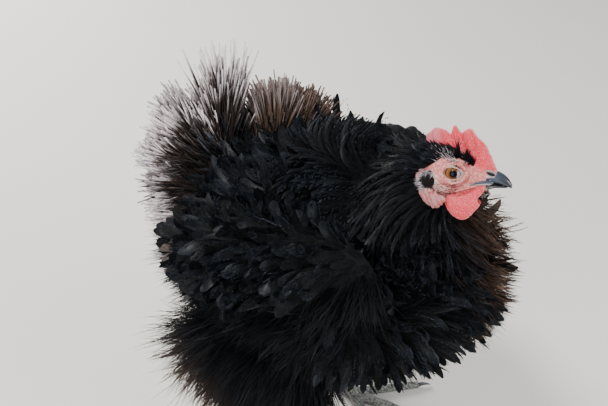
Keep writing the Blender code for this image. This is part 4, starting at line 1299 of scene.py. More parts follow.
@dataclass
class Coat:
    """One joined mesh of feathers of a kind, gathered root by root and made from arrays."""

    name: str
    kind: Kind
    seed: int
    rows: list = field(default_factory=list)
    patch: float = 0.003

    def add(
        self, length: float, width: float, lift: float, curl: float, bend: float, twist: float, root: Root
    ) -> None:
        """Adds one feather or tuft.

        Args:
            length: From root to tip.
            width: At its widest.
            lift: Degrees that it starts off the skin.
            curl: Degrees that it turns outwards by its tip.
            bend: Degrees that it turns sideways by its tip.
            twist: Degrees that it rolls by its tip.
            root: Its place, directions and dye.
        """
        turns = (math.radians(a) for a in (lift, curl, bend, twist))
        spot = (*root.at, *root.normal, *root.lie)
        self.rows.append((*spot, length, width, *turns, *root.dye, *root.place, 0.5))

    def strands(self, rows: np.ndarray, draw: np.random.Generator) -> np.ndarray:
        """Splits each tuft into its hairs, spread at the root and drawn together at the tip."""
        form = self.kind.value
        rank = np.tile((np.arange(form.strands) + 0.5) / form.strands, len(rows))
        rows = np.repeat(rows, form.strands, axis=0)
        count = len(rows)
        lie = rows[:, 6:9].copy()
        side = np.cross(rows[:, 3:6], lie)
        turn = draw.normal(0, form.fan, count)
        aside, ahead = (draw.normal(0, form.spread, count)[:, None] for _ in range(2))
        rows[:, 0:3] += side * aside + lie * ahead
        rows[:, 6:9] = lie * np.cos(turn)[:, None] + side * np.sin(turn)[:, None]
        rows[:, 9] *= draw.uniform(1 - form.uneven, 1 + 0.2 * form.uneven, count)
        rows[:, 10] *= draw.uniform(0.7, 1.3, count)
        rows[:, 11] += draw.normal(0, 0.16, count)
        rows[:, 12] *= draw.uniform(0.5, 1.5, count)
        rows[:, 13] += draw.normal(0, 0.25, count) - 0.9 * turn
        rows[:, 17] = np.clip(rows[:, 17] + draw.normal(0, 0.18, count), 0, 1)
        rows[:, 20] = rank
        return rows

    def clear_of(self, bare: BVHTree, gap: float) -> None:
        """Leaves out each feather that would pass nearer to the bare skin than the gap."""
        if not self.rows:
            return
        line = self.shafts(np.array(self.rows, float), np.linspace(0, 1, 7))[0][:, 1:]
        near = [any(bare.find_nearest(Vector(p), gap)[0] for p in points) for points in line.tolist()]
        self.rows = [row for row, touches in zip(self.rows, near) if not touches]

    def build(self) -> bpy.types.Object:
        """Makes the coat's mesh, its OFBake map and the attributes that its finish reads."""
        form, draw = self.kind.value, np.random.default_rng(self.seed)
        rows = np.array(self.rows, float)
        if form.strands > 1:
            rows = self.strands(rows, draw)
        web = self.vanes(rows, draw)
        if form.barbs:
            web = web.plus(self.barbs(rows, draw))
        mesh = self.mesh(web)
        self.finish(mesh, rows, web)
        obj = bpy.data.objects.new(self.name, mesh)
        bpy.context.scene.collection.objects.link(obj)
        return obj

    def vanes(self, rows: np.ndarray, draw: np.random.Generator) -> Web:
        """The closed blade of every feather."""
        form = self.kind.value
        count, rings, corners = len(rows), form.rings, len(form.section)
        t = np.linspace(0, 1, rings)
        line, ahead, across, high = self.shafts(rows, t)
        half = form.core * rows[:, 10:11] / 2 * curve(form.outline, t)[None, :]
        fray = form.ragged * smooth_step((t - 0.25) / 0.3)[None, :]
        deep = form.thick * (1 - 0.7 * t)[None, :] if form.thick else half
        walls = []
        for reach, above in form.section:
            torn = 1 - fray * draw.uniform(0, 1, (count, rings)) if reach else 1.0
            wide = half * reach * torn
            up = deep * above + form.cup * abs(reach) * half
            slip = form.sweep * np.abs(wide)
            walls.append(line + across * wide[..., None] + high * up[..., None] + ahead * slip[..., None])
        points = np.stack(walls, 2).reshape(count, -1, 3)
        ring, corner = np.meshgrid(np.arange(rings - 1), np.arange(corners), indexing="ij")
        here = ring * corners + corner
        there = ring * corners + (corner + 1) % corners
        faces = np.stack((here, here + corners, there + corners, there), -1).reshape(-1, 4)
        root, tip = np.arange(corners), (rings - 1) * corners + np.arange(corners)[::-1]
        sides = np.tile(form.core * np.array([x for x, _ in form.section]), rings)
        return Web.repeated(points, (faces, root[None, :], tip[None, :]), np.repeat(t, corners), sides)

    def barbs(self, rows: np.ndarray, draw: np.random.Generator) -> Web:
        """The loose barbs along both sides of every vane, each a slender closed spike."""
        form = self.kind.value
        t = np.linspace(0.14, 0.985, form.barbs)
        line, ahead, across, high = self.shafts(rows, t)
        shape = line.shape[:2]
        full = rows[:, 10:11] / 2
        half = full * curve(form.outline, t)[None, :]
        thin = ((rows[:, 9:10] / form.barbs) * 0.30)[..., None]
        swell = (0.55 + 0.45 * np.sin(math.pi * t ** 0.8))[None, :]
        lean = form.barb_lean * mix(0.7, 1.5, t)[None, :, None]
        webs = []
        for way in (-1, 1):
            out = across * way
            shake, droop = (draw.normal(0, form.loose, shape)[..., None] for _ in range(2))
            aim = out + ahead * (lean + shake)
            aim = aim + high * (form.cup + droop)
            aim = aim / np.linalg.norm(aim, axis=2, keepdims=True)
            long = form.barb_long * full * swell * draw.uniform(0.6, 1.25, shape)
            edge = out * (form.core * 0.86 * half)[..., None]
            start = line + edge + high * (form.core * form.cup * half)[..., None]
            start = start + ahead * (draw.uniform(-0.5, 0.5, shape) * rows[:, 9:10] / form.barbs)[..., None]
            corners = (
                start - ahead * thin, start + ahead * thin,
                start + high * thin * 0.7, start + aim * long[..., None],
            )
            points = np.stack(corners, 2).reshape(shape[0], -1, 3)
            fan = np.array(SPIKES[way])
            faces = (fan[None, :, :] + 4 * np.arange(form.barbs)[:, None, None]).reshape(-1, 3)
            sides = np.tile((form.core, form.core, form.core, 1.25), form.barbs) * way
            webs.append(Web.repeated(points, (faces,), np.repeat(t, 4), sides))
        return webs[0].plus(webs[1])

    @staticmethod
    def shafts(rows: np.ndarray, t: np.ndarray) -> tuple[np.ndarray, ...]:
        """The line of each shaft, and the three directions at each ring."""
        root, normal, lie = rows[:, None, 0:3], rows[:, None, 3:6], rows[:, None, 6:9]
        side = np.cross(normal, lie)
        length, _, lift, curl, bend, twist = (rows[:, k, None] for k in range(9, 15))
        angle = (lift + curl * t[None, :] ** 1.4)[..., None]
        yaw = (bend * t[None, :] ** 1.3)[..., None]
        level = lie * np.cos(yaw) + side * np.sin(yaw)
        ahead = level * np.cos(angle) + normal * np.sin(angle)
        flat_high = normal * np.cos(angle) - level * np.sin(angle)
        flat_across = np.cross(flat_high, ahead)
        roll = (twist * t[None, :])[..., None]
        across = flat_across * np.cos(roll) + flat_high * np.sin(roll)
        high = flat_high * np.cos(roll) - flat_across * np.sin(roll)
        steps = (ahead[:, 1:] + ahead[:, :-1]) / 2 * (np.diff(t)[None, :] * length)[..., None]
        line = np.concatenate((np.zeros_like(root), np.cumsum(steps, 1)), 1) + root
        return line, ahead, across, high

    def mesh(self, web: Web) -> bpy.types.Mesh:
        """Fills a mesh from a web."""
        starts = np.concatenate(([0], np.cumsum(web.sizes)[:-1])).astype(np.int32)
        mesh = bpy.data.meshes.new(self.name)
        mesh.vertices.add(len(web.points))
        mesh.vertices.foreach_set("co", web.points.astype(np.float32).ravel())
        mesh.loops.add(len(web.loops))
        mesh.loops.foreach_set("vertex_index", web.loops.astype(np.int32))
        mesh.polygons.add(len(web.sizes))
        mesh.polygons.foreach_set("loop_start", starts)
        mesh.update(calc_edges=True)
        mesh.polygons.foreach_set("use_smooth", np.ones(len(web.sizes), bool))
        return mesh

    def finish(self, mesh: bpy.types.Mesh, rows: np.ndarray, web: Web) -> None:
        """Stores each point's dye, its place across the feather, and the OFBake map."""
        own = rows[web.owner]
        stain(mesh, "dye", np.stack((web.along, *own[:, 15:18].T), 1))
        layer = mesh.attributes.new("across", "FLOAT", "POINT")
        layer.data.foreach_set("value", np.abs(web.across).astype(np.float32))
        share = own[:, 20] - 0.5 + web.across * 0.4 / self.kind.value.strands
        spot = own[:, 18:20] + self.patch * np.stack((share, web.along - 0.5), 1)
        uv = mesh.uv_layers.new(name="OFBake")
        uv.data.foreach_set("uv", np.clip(spot, 0, 1)[web.loops].astype(np.float32).ravel())
        if self.kind.value.thick:
            mesh.set_sharp_from_angle(angle=math.radians(75))


def markings(at: Vector) -> tuple[float, float]:
    """How brown the coat is at a place, and how pale with painted highlight where the sun falls."""
    rear = 0.55 * rise(-0.040 - at.x, 0.045) * rise(at.z - 0.215, 0.035)
    front = 0.88 * rise(0.88 * at.x + 0.47 * at.y - 0.079, 0.024)
    skirt = 0.80 * rise(-0.005 - at.x, 0.06) * rise(0.175 - at.z, 0.05)
    # Painted highlight: the top of the rump turns pale where the sun falls.
    pale = 0.8 * rise(-0.078 - at.x, 0.025) * rise(at.z - 0.185, 0.04)
    return max(rear, front, skirt), pale


def round_place(at: Vector, centre: Vector, reach: float) -> tuple[float, float]:
    """A place on the unwrap of a rounded region: round its long axis, and along it."""
    offset = at - centre
    round_it = math.atan2(offset.y, offset.z) / (2 * math.pi) + 0.5
    return 0.02 + 0.96 * round_it, 0.5 + 0.45 * max(-1.0, min(1.0, offset.x / reach))


@dataclass
class BodyCoat:
    """Curled petals on the breast and back, and the long soft fluff behind and below."""

    hide: Hide
    bare: BVHTree
    spacing: float = 0.0046
    clearance: float = 4 * MM
    stray: float = 0.28
    brown_plume: Stance = Stance(0.0120, (20, 46), (0, 60), 34, 38)
    brown_fluff: Stance = Stance(0.0007, (20, 44), (10, 50), 20)
    rear_plume: Stance = Stance(0.0085, (12, 34), (-8, 46), 22, 24)
    rear_fluff: Stance = Stance(0.0007, (14, 38), (-14, 40), 14)
    breast_plume: Stance = Stance(0.0125, (10, 30), (-10, 50), 26, 26)
    petal_length: float = 0.0375
    petal_width: float = 0.0100
    petal_curl: tuple[float, float] = (84, 16)

    def build(self) -> list[bpy.types.Object]:
        """Grows the coats of the body."""
        luck, coats = Luck(5), {}
        petals = [(f"{part}_feathers", Kind.PETAL) for part in ("breast", "back", "belly")]
        for part, kind in (*petals, ("fluff", Kind.FLUFF), ("plumes", Kind.PLUME)):
            for side, way in SIDES:
                coats[part, way] = Coat(f"{part}_{side}", kind, 1 + len(coats))
        for at, normal in self.hide.roots("body", self.spacing, 11):
            if not NeckCoat.mantle(at):
                self.grow(coats, at, normal, luck)
        for coat in coats.values():
            coat.clear_of(self.bare, self.clearance)
        return [coat.build() for coat in coats.values() if coat.rows]

    @staticmethod
    def from_armpit(at: Vector) -> Vector:
        """The way from the nearer armpit to a place."""
        return at - Vector((ARMPIT.x, ARMPIT.y if at.y > 0 else -ARMPIT.y, ARMPIT.z))

    def lie(self, at: Vector, normal: Vector) -> Vector:
        """Which way a body feather points along the skin at a place."""
        fan = self.from_armpit(at).normalized() + Vector((0, 0, -0.35))
        front = rise(at.x - ARMPIT.x + 0.035, 0.06)
        hung = rise(at.x + 0.085, 0.07) * rise(0.225 - at.z, 0.05)
        return along_skin(Vector((mix(-1, -0.42, hung), 0, mix(-0.45, -1, hung))).lerp(fan, front), normal)

    def grow(self, coats: dict[tuple[str, int], Coat], at: Vector, normal: Vector, luck: Luck) -> None:
        """Sets the feather or tuft of one root."""
        way = 1 if at.y > 0 else -1
        # pale is painted highlight where the sun falls on the rump.
        brown, pale = markings(at)
        tone = luck.span()
        lie = luck.turned(self.lie(at, normal), normal, self.stray)
        root = Root(at, normal, lie, (brown, pale, tone), round_place(at, BODY_AT, 0.12))
        plumes, fluff = coats["plumes", way], coats["fluff", way]
        rear = rise(-0.042 - at.x, 0.04)
        soft = rise(0.056 - at.x, 0.03) * rise(0.232 - at.z, 0.02)
        downy = rise(at.x - 0.045, 0.03) * rise(0.250 - at.z, 0.03)
        shake = luck.span(0.85, 1.15)
        if rise(at.x - 0.060, 0.04) * brown > luck.span(0.15, 0.85):
            high = rise(at.z - 0.165, 0.04)
            reach = mix(0.021, 0.038, high) + 0.006 * rise(at.z - 0.222, 0.012)
            plumes.add(reach * shake, *self.brown_plume.drawn(luck), root)
            if luck.chance(0.55):
                fluff.add(mix(0.022, 0.036, high) * shake, *self.brown_fluff.drawn(luck), root)
        elif max(soft, rear) > luck.span(0.25, 0.75):
            trail = rise(at.z - 0.140, 0.05)
            if luck.chance(0.5):
                length = mix(0.032, 0.042, trail) * shake
                fluff.add(length, *self.rear_fluff.drawn(luck, rear * trail), root)
            if luck.chance(0.42):
                length = mix(0.029, 0.039, trail) * shake
                plumes.add(length, *self.rear_plume.drawn(luck, rear * trail), root)
        elif luck.chance(0.45 * downy):
            reach = mix(0.020, 0.036, rise(at.z - 0.150, 0.05))
            plumes.add(reach * shake, *self.breast_plume.drawn(luck), root)
        else:
            part = "belly" if at.z < 0.125 else "breast" if at.x > 0.005 else "back"
            self.petal(coats[f"{part}_feathers", way], root, shake, part == "back", luck)

    def petal(self, coat: Coat, root: Root, shake: float, back: bool, luck: Luck) -> None:
        """Sets one curled petal: calm at the crown and belt, whirled at the armpit, some swung aside."""
        at = root.at
        whorl = 1 - rise(self.from_armpit(at).length, 0.034)
        root.lie = luck.turned(root.lie, root.normal, 0.9 * whorl)
        crown = rise(at.z - 0.250, 0.03)
        belt = rise(0.205 - at.z, 0.05) * rise(at.x - 0.015, 0.04)
        calm = (1 - 0.25 * crown) * (1 - 0.35 * whorl) * (1 - 0.50 * belt)
        sickle = back and luck.chance(0.24)
        swing = float(luck.draw.choice((-1, 1))) * luck.span(60, 100) if sickle else luck.near(0, 20)
        coat.add(
            self.petal_length * shake * calm * (1.25 if sickle else 1.0),
            self.petal_width * luck.span(0.75, 1.25) * (1 - 0.35 * whorl),
            (luck.span(10, 26) + 8 * whorl) * (1 - 0.6 * belt),
            mix(*self.petal_curl, belt) * (1 - 0.6 * crown) * luck.span(0.3, 1.5) * (0.5 if sickle else 1.0),
            swing, luck.near(0, 22), root,
        )


@dataclass
class NeckCoat:
    """Narrow glossy hackles that sweep back and down from the head."""

    hide: Hide
    bare: BVHTree
    spacing: float = 0.0029
    clearance: float = 2.2 * MM
    petal: Stance = Stance(0.0078, (10, 26), (20, 100), 34, 28)
    throat_size: tuple[float, float] = (0.039, 0.0064)
    hackle_length: tuple[float, float] = (0.020, 0.043)
    hackle_width: tuple[float, float] = (0.0034, 0.0066)

    def build(self) -> list[bpy.types.Object]:
        """Grows the neck's coat."""
        luck, coats = Luck(21), {}
        for part, kind in (("hackles", Kind.HACKLE), ("petals", Kind.PETAL), ("throat", Kind.PLUME)):
            for side, way in SIDES:
                coats[part, way] = Coat(f"neck_{part}_{side}", kind, 22 + len(coats))
        for at, normal in self.hide.roots("neck", self.spacing, 23):
            self.grow(coats, at, normal, luck)
        for at, normal in self.hide.roots("body", 1.15 * self.spacing, 24):
            if self.mantle(at):
                self.grow(coats, at, normal, luck)
        for coat in coats.values():
            coat.clear_of(self.bare, self.clearance)
        return [coat.build() for coat in coats.values() if coat.rows]

    @staticmethod
    def mantle(at: Vector) -> bool:
        """Whether the neck's hackles reach down over a place on the body's back."""
        return at.z > 0.238 and (at - HEAD @ CROWN).length < 0.094

    def grow(self, coats: dict[tuple[str, int], Coat], at: Vector, normal: Vector, luck: Luck) -> None:
        """Sets one feather: a hackle from the nape, a petal under the face or a plume at the throat."""
        way = 1 if at.y > 0 else -1
        crown = HEAD @ CROWN
        far = rise((at - crown).length, 0.075)
        under = rise(mix(0.268, 0.290, rise(at.x - 0.060, 0.03)) - at.z, 0.02)
        throat = rise(normal.x - 0.45, 0.25) * rise(at.z - 0.205, 0.03) * rise(at.y + 0.034, 0.02)
        throat *= rise(0.286 - 0.018 * rise(at.y - 0.010, 0.02) - at.z, 0.012)
        away = (at - crown).normalized() + Vector((-0.30, 0, -0.30)).lerp(Vector((-0.9, 0, 0.0)), 1 - under)
        lie = luck.turned(along_skin(away, normal), normal, mix(0.12, 0.38, under))
        brown, pale = markings(at + Vector((0.012, 0, 0)))
        place = round_place(at, Vector(NECK_LINE[1][0]), 0.08)
        root = Root(at, normal, lie, (brown, pale, luck.span()), place)
        shake = luck.span(0.85, 1.15)
        if throat * (0.4 + 0.6 * brown) > luck.span(0.1, 0.6):
            length, width = self.throat_size
            coats["throat", way].add(
                length * shake, width, mix(20, 50, throat) + luck.near(0, 8), luck.span(-30, 30),
                luck.near(0, 30), luck.near(0, 36), root,
            )
        elif under > luck.span(0.25, 0.75):
            if luck.chance(0.60):
                width, *angles = self.petal.drawn(luck)
                coats["petals", way].add(0.025 * shake, width * shake, *angles, root)
        else:
            calm = 1 - 0.6 * rise(at.z - 0.268, 0.02)
            coats["hackles", way].add(
                mix(*self.hackle_length, far) * shake, mix(*self.hackle_width, far), luck.span(5, 14),
                mix(6, 24, far) * luck.span(0.3, 1.3) * calm, -way * mix(20, 98, far) + luck.near(0, 10),
                luck.near(0, 12), root,
            )


@dataclass
class WingCoat:
    """Broad quills along a wing's lower edge, curled coverts over them and down below them.

    The edge and the droop are curves along X: the edge's height, and how many degrees the feathers
    fall towards the rear. Each row of quills has its rise over the edge, count, length and width,
    and each quill at the tip its rise, droop and paleness; the paleness is painted highlight.
    """

    hide: Hide
    side: str
    way: int
    spacing: float = 0.0044
    edge: tuple = (
        (-0.090, 0.204), (-0.040, 0.197), (-0.022, 0.200), (-0.005, 0.211), (0.030, 0.235), (0.062, 0.257),
    )
    fall: tuple = ((-0.070, 2.0), (-0.020, 18.0), (0.030, 32.0), (0.060, 36.0))
    quills: tuple = ((0.007, 16, 0.037, 0.0190), (0.016, 16, 0.033, 0.0170))
    tips: tuple = ((0.004, 14.0, 0.22), (0.012, -6.0, 0.30), (0.020, -22.0, 0.18))
    down: Stance = Stance(0.0007, (4, 20), (-24, 6), 12)
    down_length: float = 0.042
    down_droop: float = 66.0

    def build(self) -> list[bpy.types.Object]:
        """Grows one wing's coats."""
        luck = Luck(31)
        return [self.flights(luck), *self.cover(luck)]

    def root(self, at: Vector, normal: Vector, lie: Vector, dye: Sequence[float]) -> Root:
        """A root with its place on the wing's own flat outline."""
        return Root(at, normal, lie, dye, (0.5 + (at.x - WING_AT.x) / 0.22, 0.5 + (at.z - WING_AT.z) / 0.16))

    def lie(self, droop: float, normal: Vector) -> Vector:
        """Back along the wing, drooping by that many degrees."""
        turn = math.radians(droop)
        return along_skin(Vector((-math.cos(turn), 0.08 * self.way, -math.sin(turn))), normal)

    def flights(self, luck: Luck) -> bpy.types.Object:
        """Two overlapping rows of quills, and the curled tip ones, their ends pale with painted highlight.
        """
        coat = Coat(f"wing_quills_{self.side}", Kind.QUILL, 32)
        skin = self.hide.trees[f"wing_{self.side}"]
        for above, count, length, width in self.quills:
            for i in range(count):
                x = mix(-0.066, 0.048, (i + luck.span(0.3, 0.7)) / count)
                spot = Vector((x, self.way * 0.12, float(curve(self.edge, x)) + above))
                at, normal, _, _ = skin.find_nearest(spot)
                back = rise(0.045 - x, 0.07)
                droop = float(curve(self.fall, x)) + luck.near(3, 6)
                coat.add(
                    length * mix(0.55, 1.0, back), width * mix(0.6, 1.0, back),
                    luck.span(4, 14), luck.span(6, 40), luck.near(0, 10), luck.near(0, 12),
                    self.root(at, normal, self.lie(droop, normal), (0.0, 0.0, luck.span(0.3, 1))),
                )
        # Painted highlight: the tip quills' paleness stands for sun glare.
        for above, droop, pale in self.tips:
            at, normal, _, _ = skin.find_nearest(Vector((-0.074, self.way * 0.10, 0.203 + above)))
            root = self.root(at, normal, self.lie(droop, normal), (0.9, pale, 0.9))
            coat.add(0.027, 0.0150, 14.0, 70.0, luck.near(0, 10), 0.0, root)
        return coat.build()

    def cover(self, luck: Luck) -> list[bpy.types.Object]:
        """Curled coverts over the wing, and soft down where its skin shows below the edge."""
        coverts = Coat(f"wing_coverts_{self.side}", Kind.COVERT, 33)
        down = Coat(f"wing_down_{self.side}", Kind.FLUFF, 34)
        for at, normal in self.hide.roots(f"wing_{self.side}", self.spacing, 35):
            # pale from markings is painted highlight.
            brown, pale = markings(at)
            if at.z < curve(self.edge, at.x) + 0.003:
                if luck.chance(0.45):
                    lie = luck.turned(self.lie(self.down_droop, normal), normal, 0.2)
                    down.add(
                        self.down_length * luck.span(0.8, 1.1), *self.down.drawn(luck),
                        self.root(at, normal, lie, (brown, 0.0, luck.span())),
                    )
                continue
            high = rise(at.z - WING_AT.z + 0.025, 0.055)
            ahead = rise(at.x - WING_AT.x - 0.040, 0.03)
            flat = high if self.way > 0 else high * ahead
            lie = luck.turned(self.lie(float(curve(self.fall, at.x)), normal), normal, 0.40 - 0.1 * ahead)
            coverts.add(
                mix(0.029, 0.024, high) * luck.span(0.8, 1.2) * (1 - 0.35 * ahead) * (1 - 0.3 * flat),
                mix(0.0145, 0.0100, high) * (1 - 0.35 * ahead), luck.span(8, 22) * (1 - 0.9 * flat),
                mix(mix(46, 54, high) * luck.span(0.2, 1.7), -34.0, flat),
                luck.near(0, 30) * (1 - 0.8 * flat), luck.near(0, 30) * (1 - 0.9 * flat),
                self.root(at, normal, lie, (brown * 0.6, pale * 0.5, luck.span())),
            )
        return [coverts.build(), down.build()]


@dataclass
class TailCoat:
    """The short fanned tail and the raised rump feathers beside it, their ends pale as painted highlight.

    The fan's rows run from her right to her left: share, place of the tips, paleness. Each tier has
    its count of plumes and of tufts, its reach, and how brown and how pale it is. All this paleness is
    painted highlight for sun glare on the ends.
    """

    hide: Hide
    fan: tuple = (
        (-1.00, -0.081, -0.080, 0.217, 0.50), (-0.90, -0.107, -0.066, 0.225, 0.70),
        (-0.80, -0.123, -0.050, 0.238, 0.80), (-0.66, -0.136, -0.038, 0.258, 0.80),
        (-0.50, -0.139, -0.026, 0.275, 0.80), (-0.34, -0.141, -0.014, 0.290, 0.85),
        (-0.16, -0.131, -0.005, 0.303, 0.85), (-0.04, -0.121, 0.001, 0.289, 0.85),
        (0.06, -0.111, 0.007, 0.293, 0.85), (0.13, -0.107, 0.015, 0.306, 0.90),
        (0.20, -0.100, 0.022, 0.337, 0.90), (0.26, -0.096, 0.026, 0.307, 0.85),
        (0.34, -0.092, 0.032, 0.276, 0.60), (0.48, -0.084, 0.043, 0.292, 0.30),
        (0.62, -0.070, 0.051, 0.302, 0.30), (0.78, -0.058, 0.062, 0.292, 0.08),
        (0.90, -0.043, 0.068, 0.289, 0.04), (1.00, -0.031, 0.073, 0.278, 0.00),
    )
    heart: Vector = field(default_factory=lambda: Vector((-0.062, 0.002, 0.226)))
    tiers: tuple = (
        (98, 122, 0.99, 0.62, 1.05), (76, 84, 0.91, 0.50, 0.70), (54, 66, 0.82, 0.40, 0.12),
        (36, 54, 0.72, 0.32, 0.0), (20, 26, 0.64, 0.20, 0.0),
    )
    tufts: int = 27
    quill: tuple[float, float] = (0.0110, 0.94)
    brush: tuple[float, float] = (0.0015, 1.0)
    down_length: float = 0.036

    def build(self) -> list[bpy.types.Object]:
        """Grows the tail."""
        luck = Luck(41)
        tall = luck.draw.normal(1, 0.028, self.tufts)
        bright = luck.draw.uniform(0, 1, self.tufts) < 0.8
        quills, fringe = Coat("tail_quills", Kind.BRUSH, 42), Coat("tail_fringe", Kind.FRINGE, 43)
        for plumes, tufts, reach, brown, pale in self.tiers:
            for coat, count, (width, full) in ((quills, plumes, self.quill), (fringe, tufts, self.brush)):
                for i in range(count):
                    tuft = int(i * self.tufts / count)
                    share = mix(-1, 1, (tuft + 0.5) / self.tufts) + luck.near(0, 0.014)
                    long = reach * full * tall[tuft] * luck.near(1, 0.015)
                    # shine: painted highlight, brighter on most tufts.
                    shine = pale * mix(0.55, 1.0, float(bright[tuft]))
                    self.grow(coat, share, long, width, brown, shine, luck)
        return [quills.build(), fringe.build(), *self.down(luck)]

    def grow(
        self, coat: Coat, share: float, reach: float, width: float, brown: float, pale: float, luck: Luck
    ) -> None:
        """Sets one feather or tuft of the fan, from the rump to its place on the fan's edge."""
        fan = np.array(self.fan)
        x, y, z, white = (float(curve(fan[:, [0, k]], share)) for k in (1, 2, 3, 4))
        tip = self.heart + (Vector((x, y, z)) - self.heart) * reach
        # Painted highlight: the tips' paleness stands for sun glare.
        pale = min(0.9, white * pale * luck.span(0.85, 1.0))
        brown *= 1 + 0.5 * rise(share - 0.3, 0.2)
        middle = self.heart.lerp(tip, 0.6)
        hits = (self.hide.trees[name].find_nearest(middle) for name in ("body", "tail"))
        at = min(hits, key=lambda hit: hit[3])[0]
        out = (tip - at).normalized()
        face = along_skin(Vector((-1, 0, 0.4)), out)
        coat.add(
            (tip - at).length, width, luck.near(0, 3), luck.near(4, 9), luck.near(0, 5), luck.near(0, 28),
            Root(at, face, out, (brown, pale, luck.span()), round_place(at, TAIL_AT, 0.04)),
        )

    def down(self, luck: Luck) -> list[bpy.types.Object]:
        """Soft plumes and fluff over the tail's own skin, between the fan and the rump."""
        plumes, fluff = Coat("tail_plumes", Kind.PLUME, 44), Coat("tail_down", Kind.FLUFF, 45)
        for at, normal in self.hide.roots("tail", 0.0042, 46):
            lie = luck.turned(along_skin(Vector((-1, 0, -0.7)), normal), normal, 0.3)
            # The down's paleness is painted highlight too.
            dye = (0.30, luck.span(0.0, 0.5), luck.span())
            root = Root(at, normal, lie, dye, round_place(at, TAIL_AT, 0.04))
            bend = luck.near(0, 18)
            if normal.x > -0.1:
                continue
            plumes.add(
                self.down_length * luck.span(0.8, 1.1), 0.0105, luck.span(24, 48), luck.span(0, 40), bend,
                luck.near(0, 24), root,
            )
            if luck.chance(0.15):
                length = self.down_length * luck.span(0.8, 1.1)
                fluff.add(length, 0.0007, luck.span(24, 50), luck.span(0, 40), bend, 0.0, root)
        return [plumes.build(), fluff.build()]


@dataclass
class ThighCoat:
    """Long soft hair-like fluff that hangs over a thigh."""

    hide: Hide
    side: str
    way: int
    spacing: float = 0.0064
    fluff: Stance = Stance(0.0007, (8, 26), (-16, 16), 10)
    fluff_length: tuple[float, float] = (0.044, 0.058)
    wisp: Stance = Stance(0.0080, (8, 24), (4, 30), 14, 20)
    wisp_length: tuple[float, float] = (0.046, 0.060)

    def build(self) -> list[bpy.types.Object]:
        """Grows one thigh's fluff and the pointed wisps in it."""
        luck = Luck(51)
        fluff = Coat(f"thigh_fluff_{self.side}", Kind.FLUFF, 52)
        wisps = Coat(f"thigh_wisps_{self.side}", Kind.PLUME, 53)
        centre = Vector((THIGH_AT.x, self.way * THIGH_AT.y, THIGH_AT.z))
        for at, normal in self.hide.roots(f"thigh_{self.side}", self.spacing, 55):
            back = rise(THIGH_AT.x - 0.012 - at.x, 0.03)
            lie = along_skin(Vector((-0.36 - 0.42 * back, 0.1 * self.way, -1.0)), normal)
            lie = luck.turned(lie, normal, 0.2)
            root = Root(at, normal, lie, (*markings(at), luck.span(0.3, 1)), round_place(at, centre, 0.06))
            low = 1 - 0.25 * rise(0.112 - at.z, 0.02) * back
            length = mix(*self.fluff_length, back) * low * luck.span(0.8, 1.15)
            fluff.add(length, *self.fluff.drawn(luck), root)
            if luck.chance(0.45):
                length = mix(*self.wisp_length, back) * low * luck.span(0.8, 1.05)
                wisps.add(length, *self.wisp.drawn(luck), root)
        return [fluff.build(), wisps.build()]


@dataclass(frozen=True)
class Hair:
    """Spans of one kind of small feather or hair, in millimetres and degrees."""

    length: tuple[float, float]
    width: float
    lift: tuple[float, float]
    curl: tuple[float, float]

    def drawn(self, luck: Luck, scale: float = 1.0) -> tuple[float, ...]:
        """Draws its length, width, lift and curl."""
        return scale * luck.span(*self.length), self.width, luck.span(*self.lift), luck.span(*self.curl)


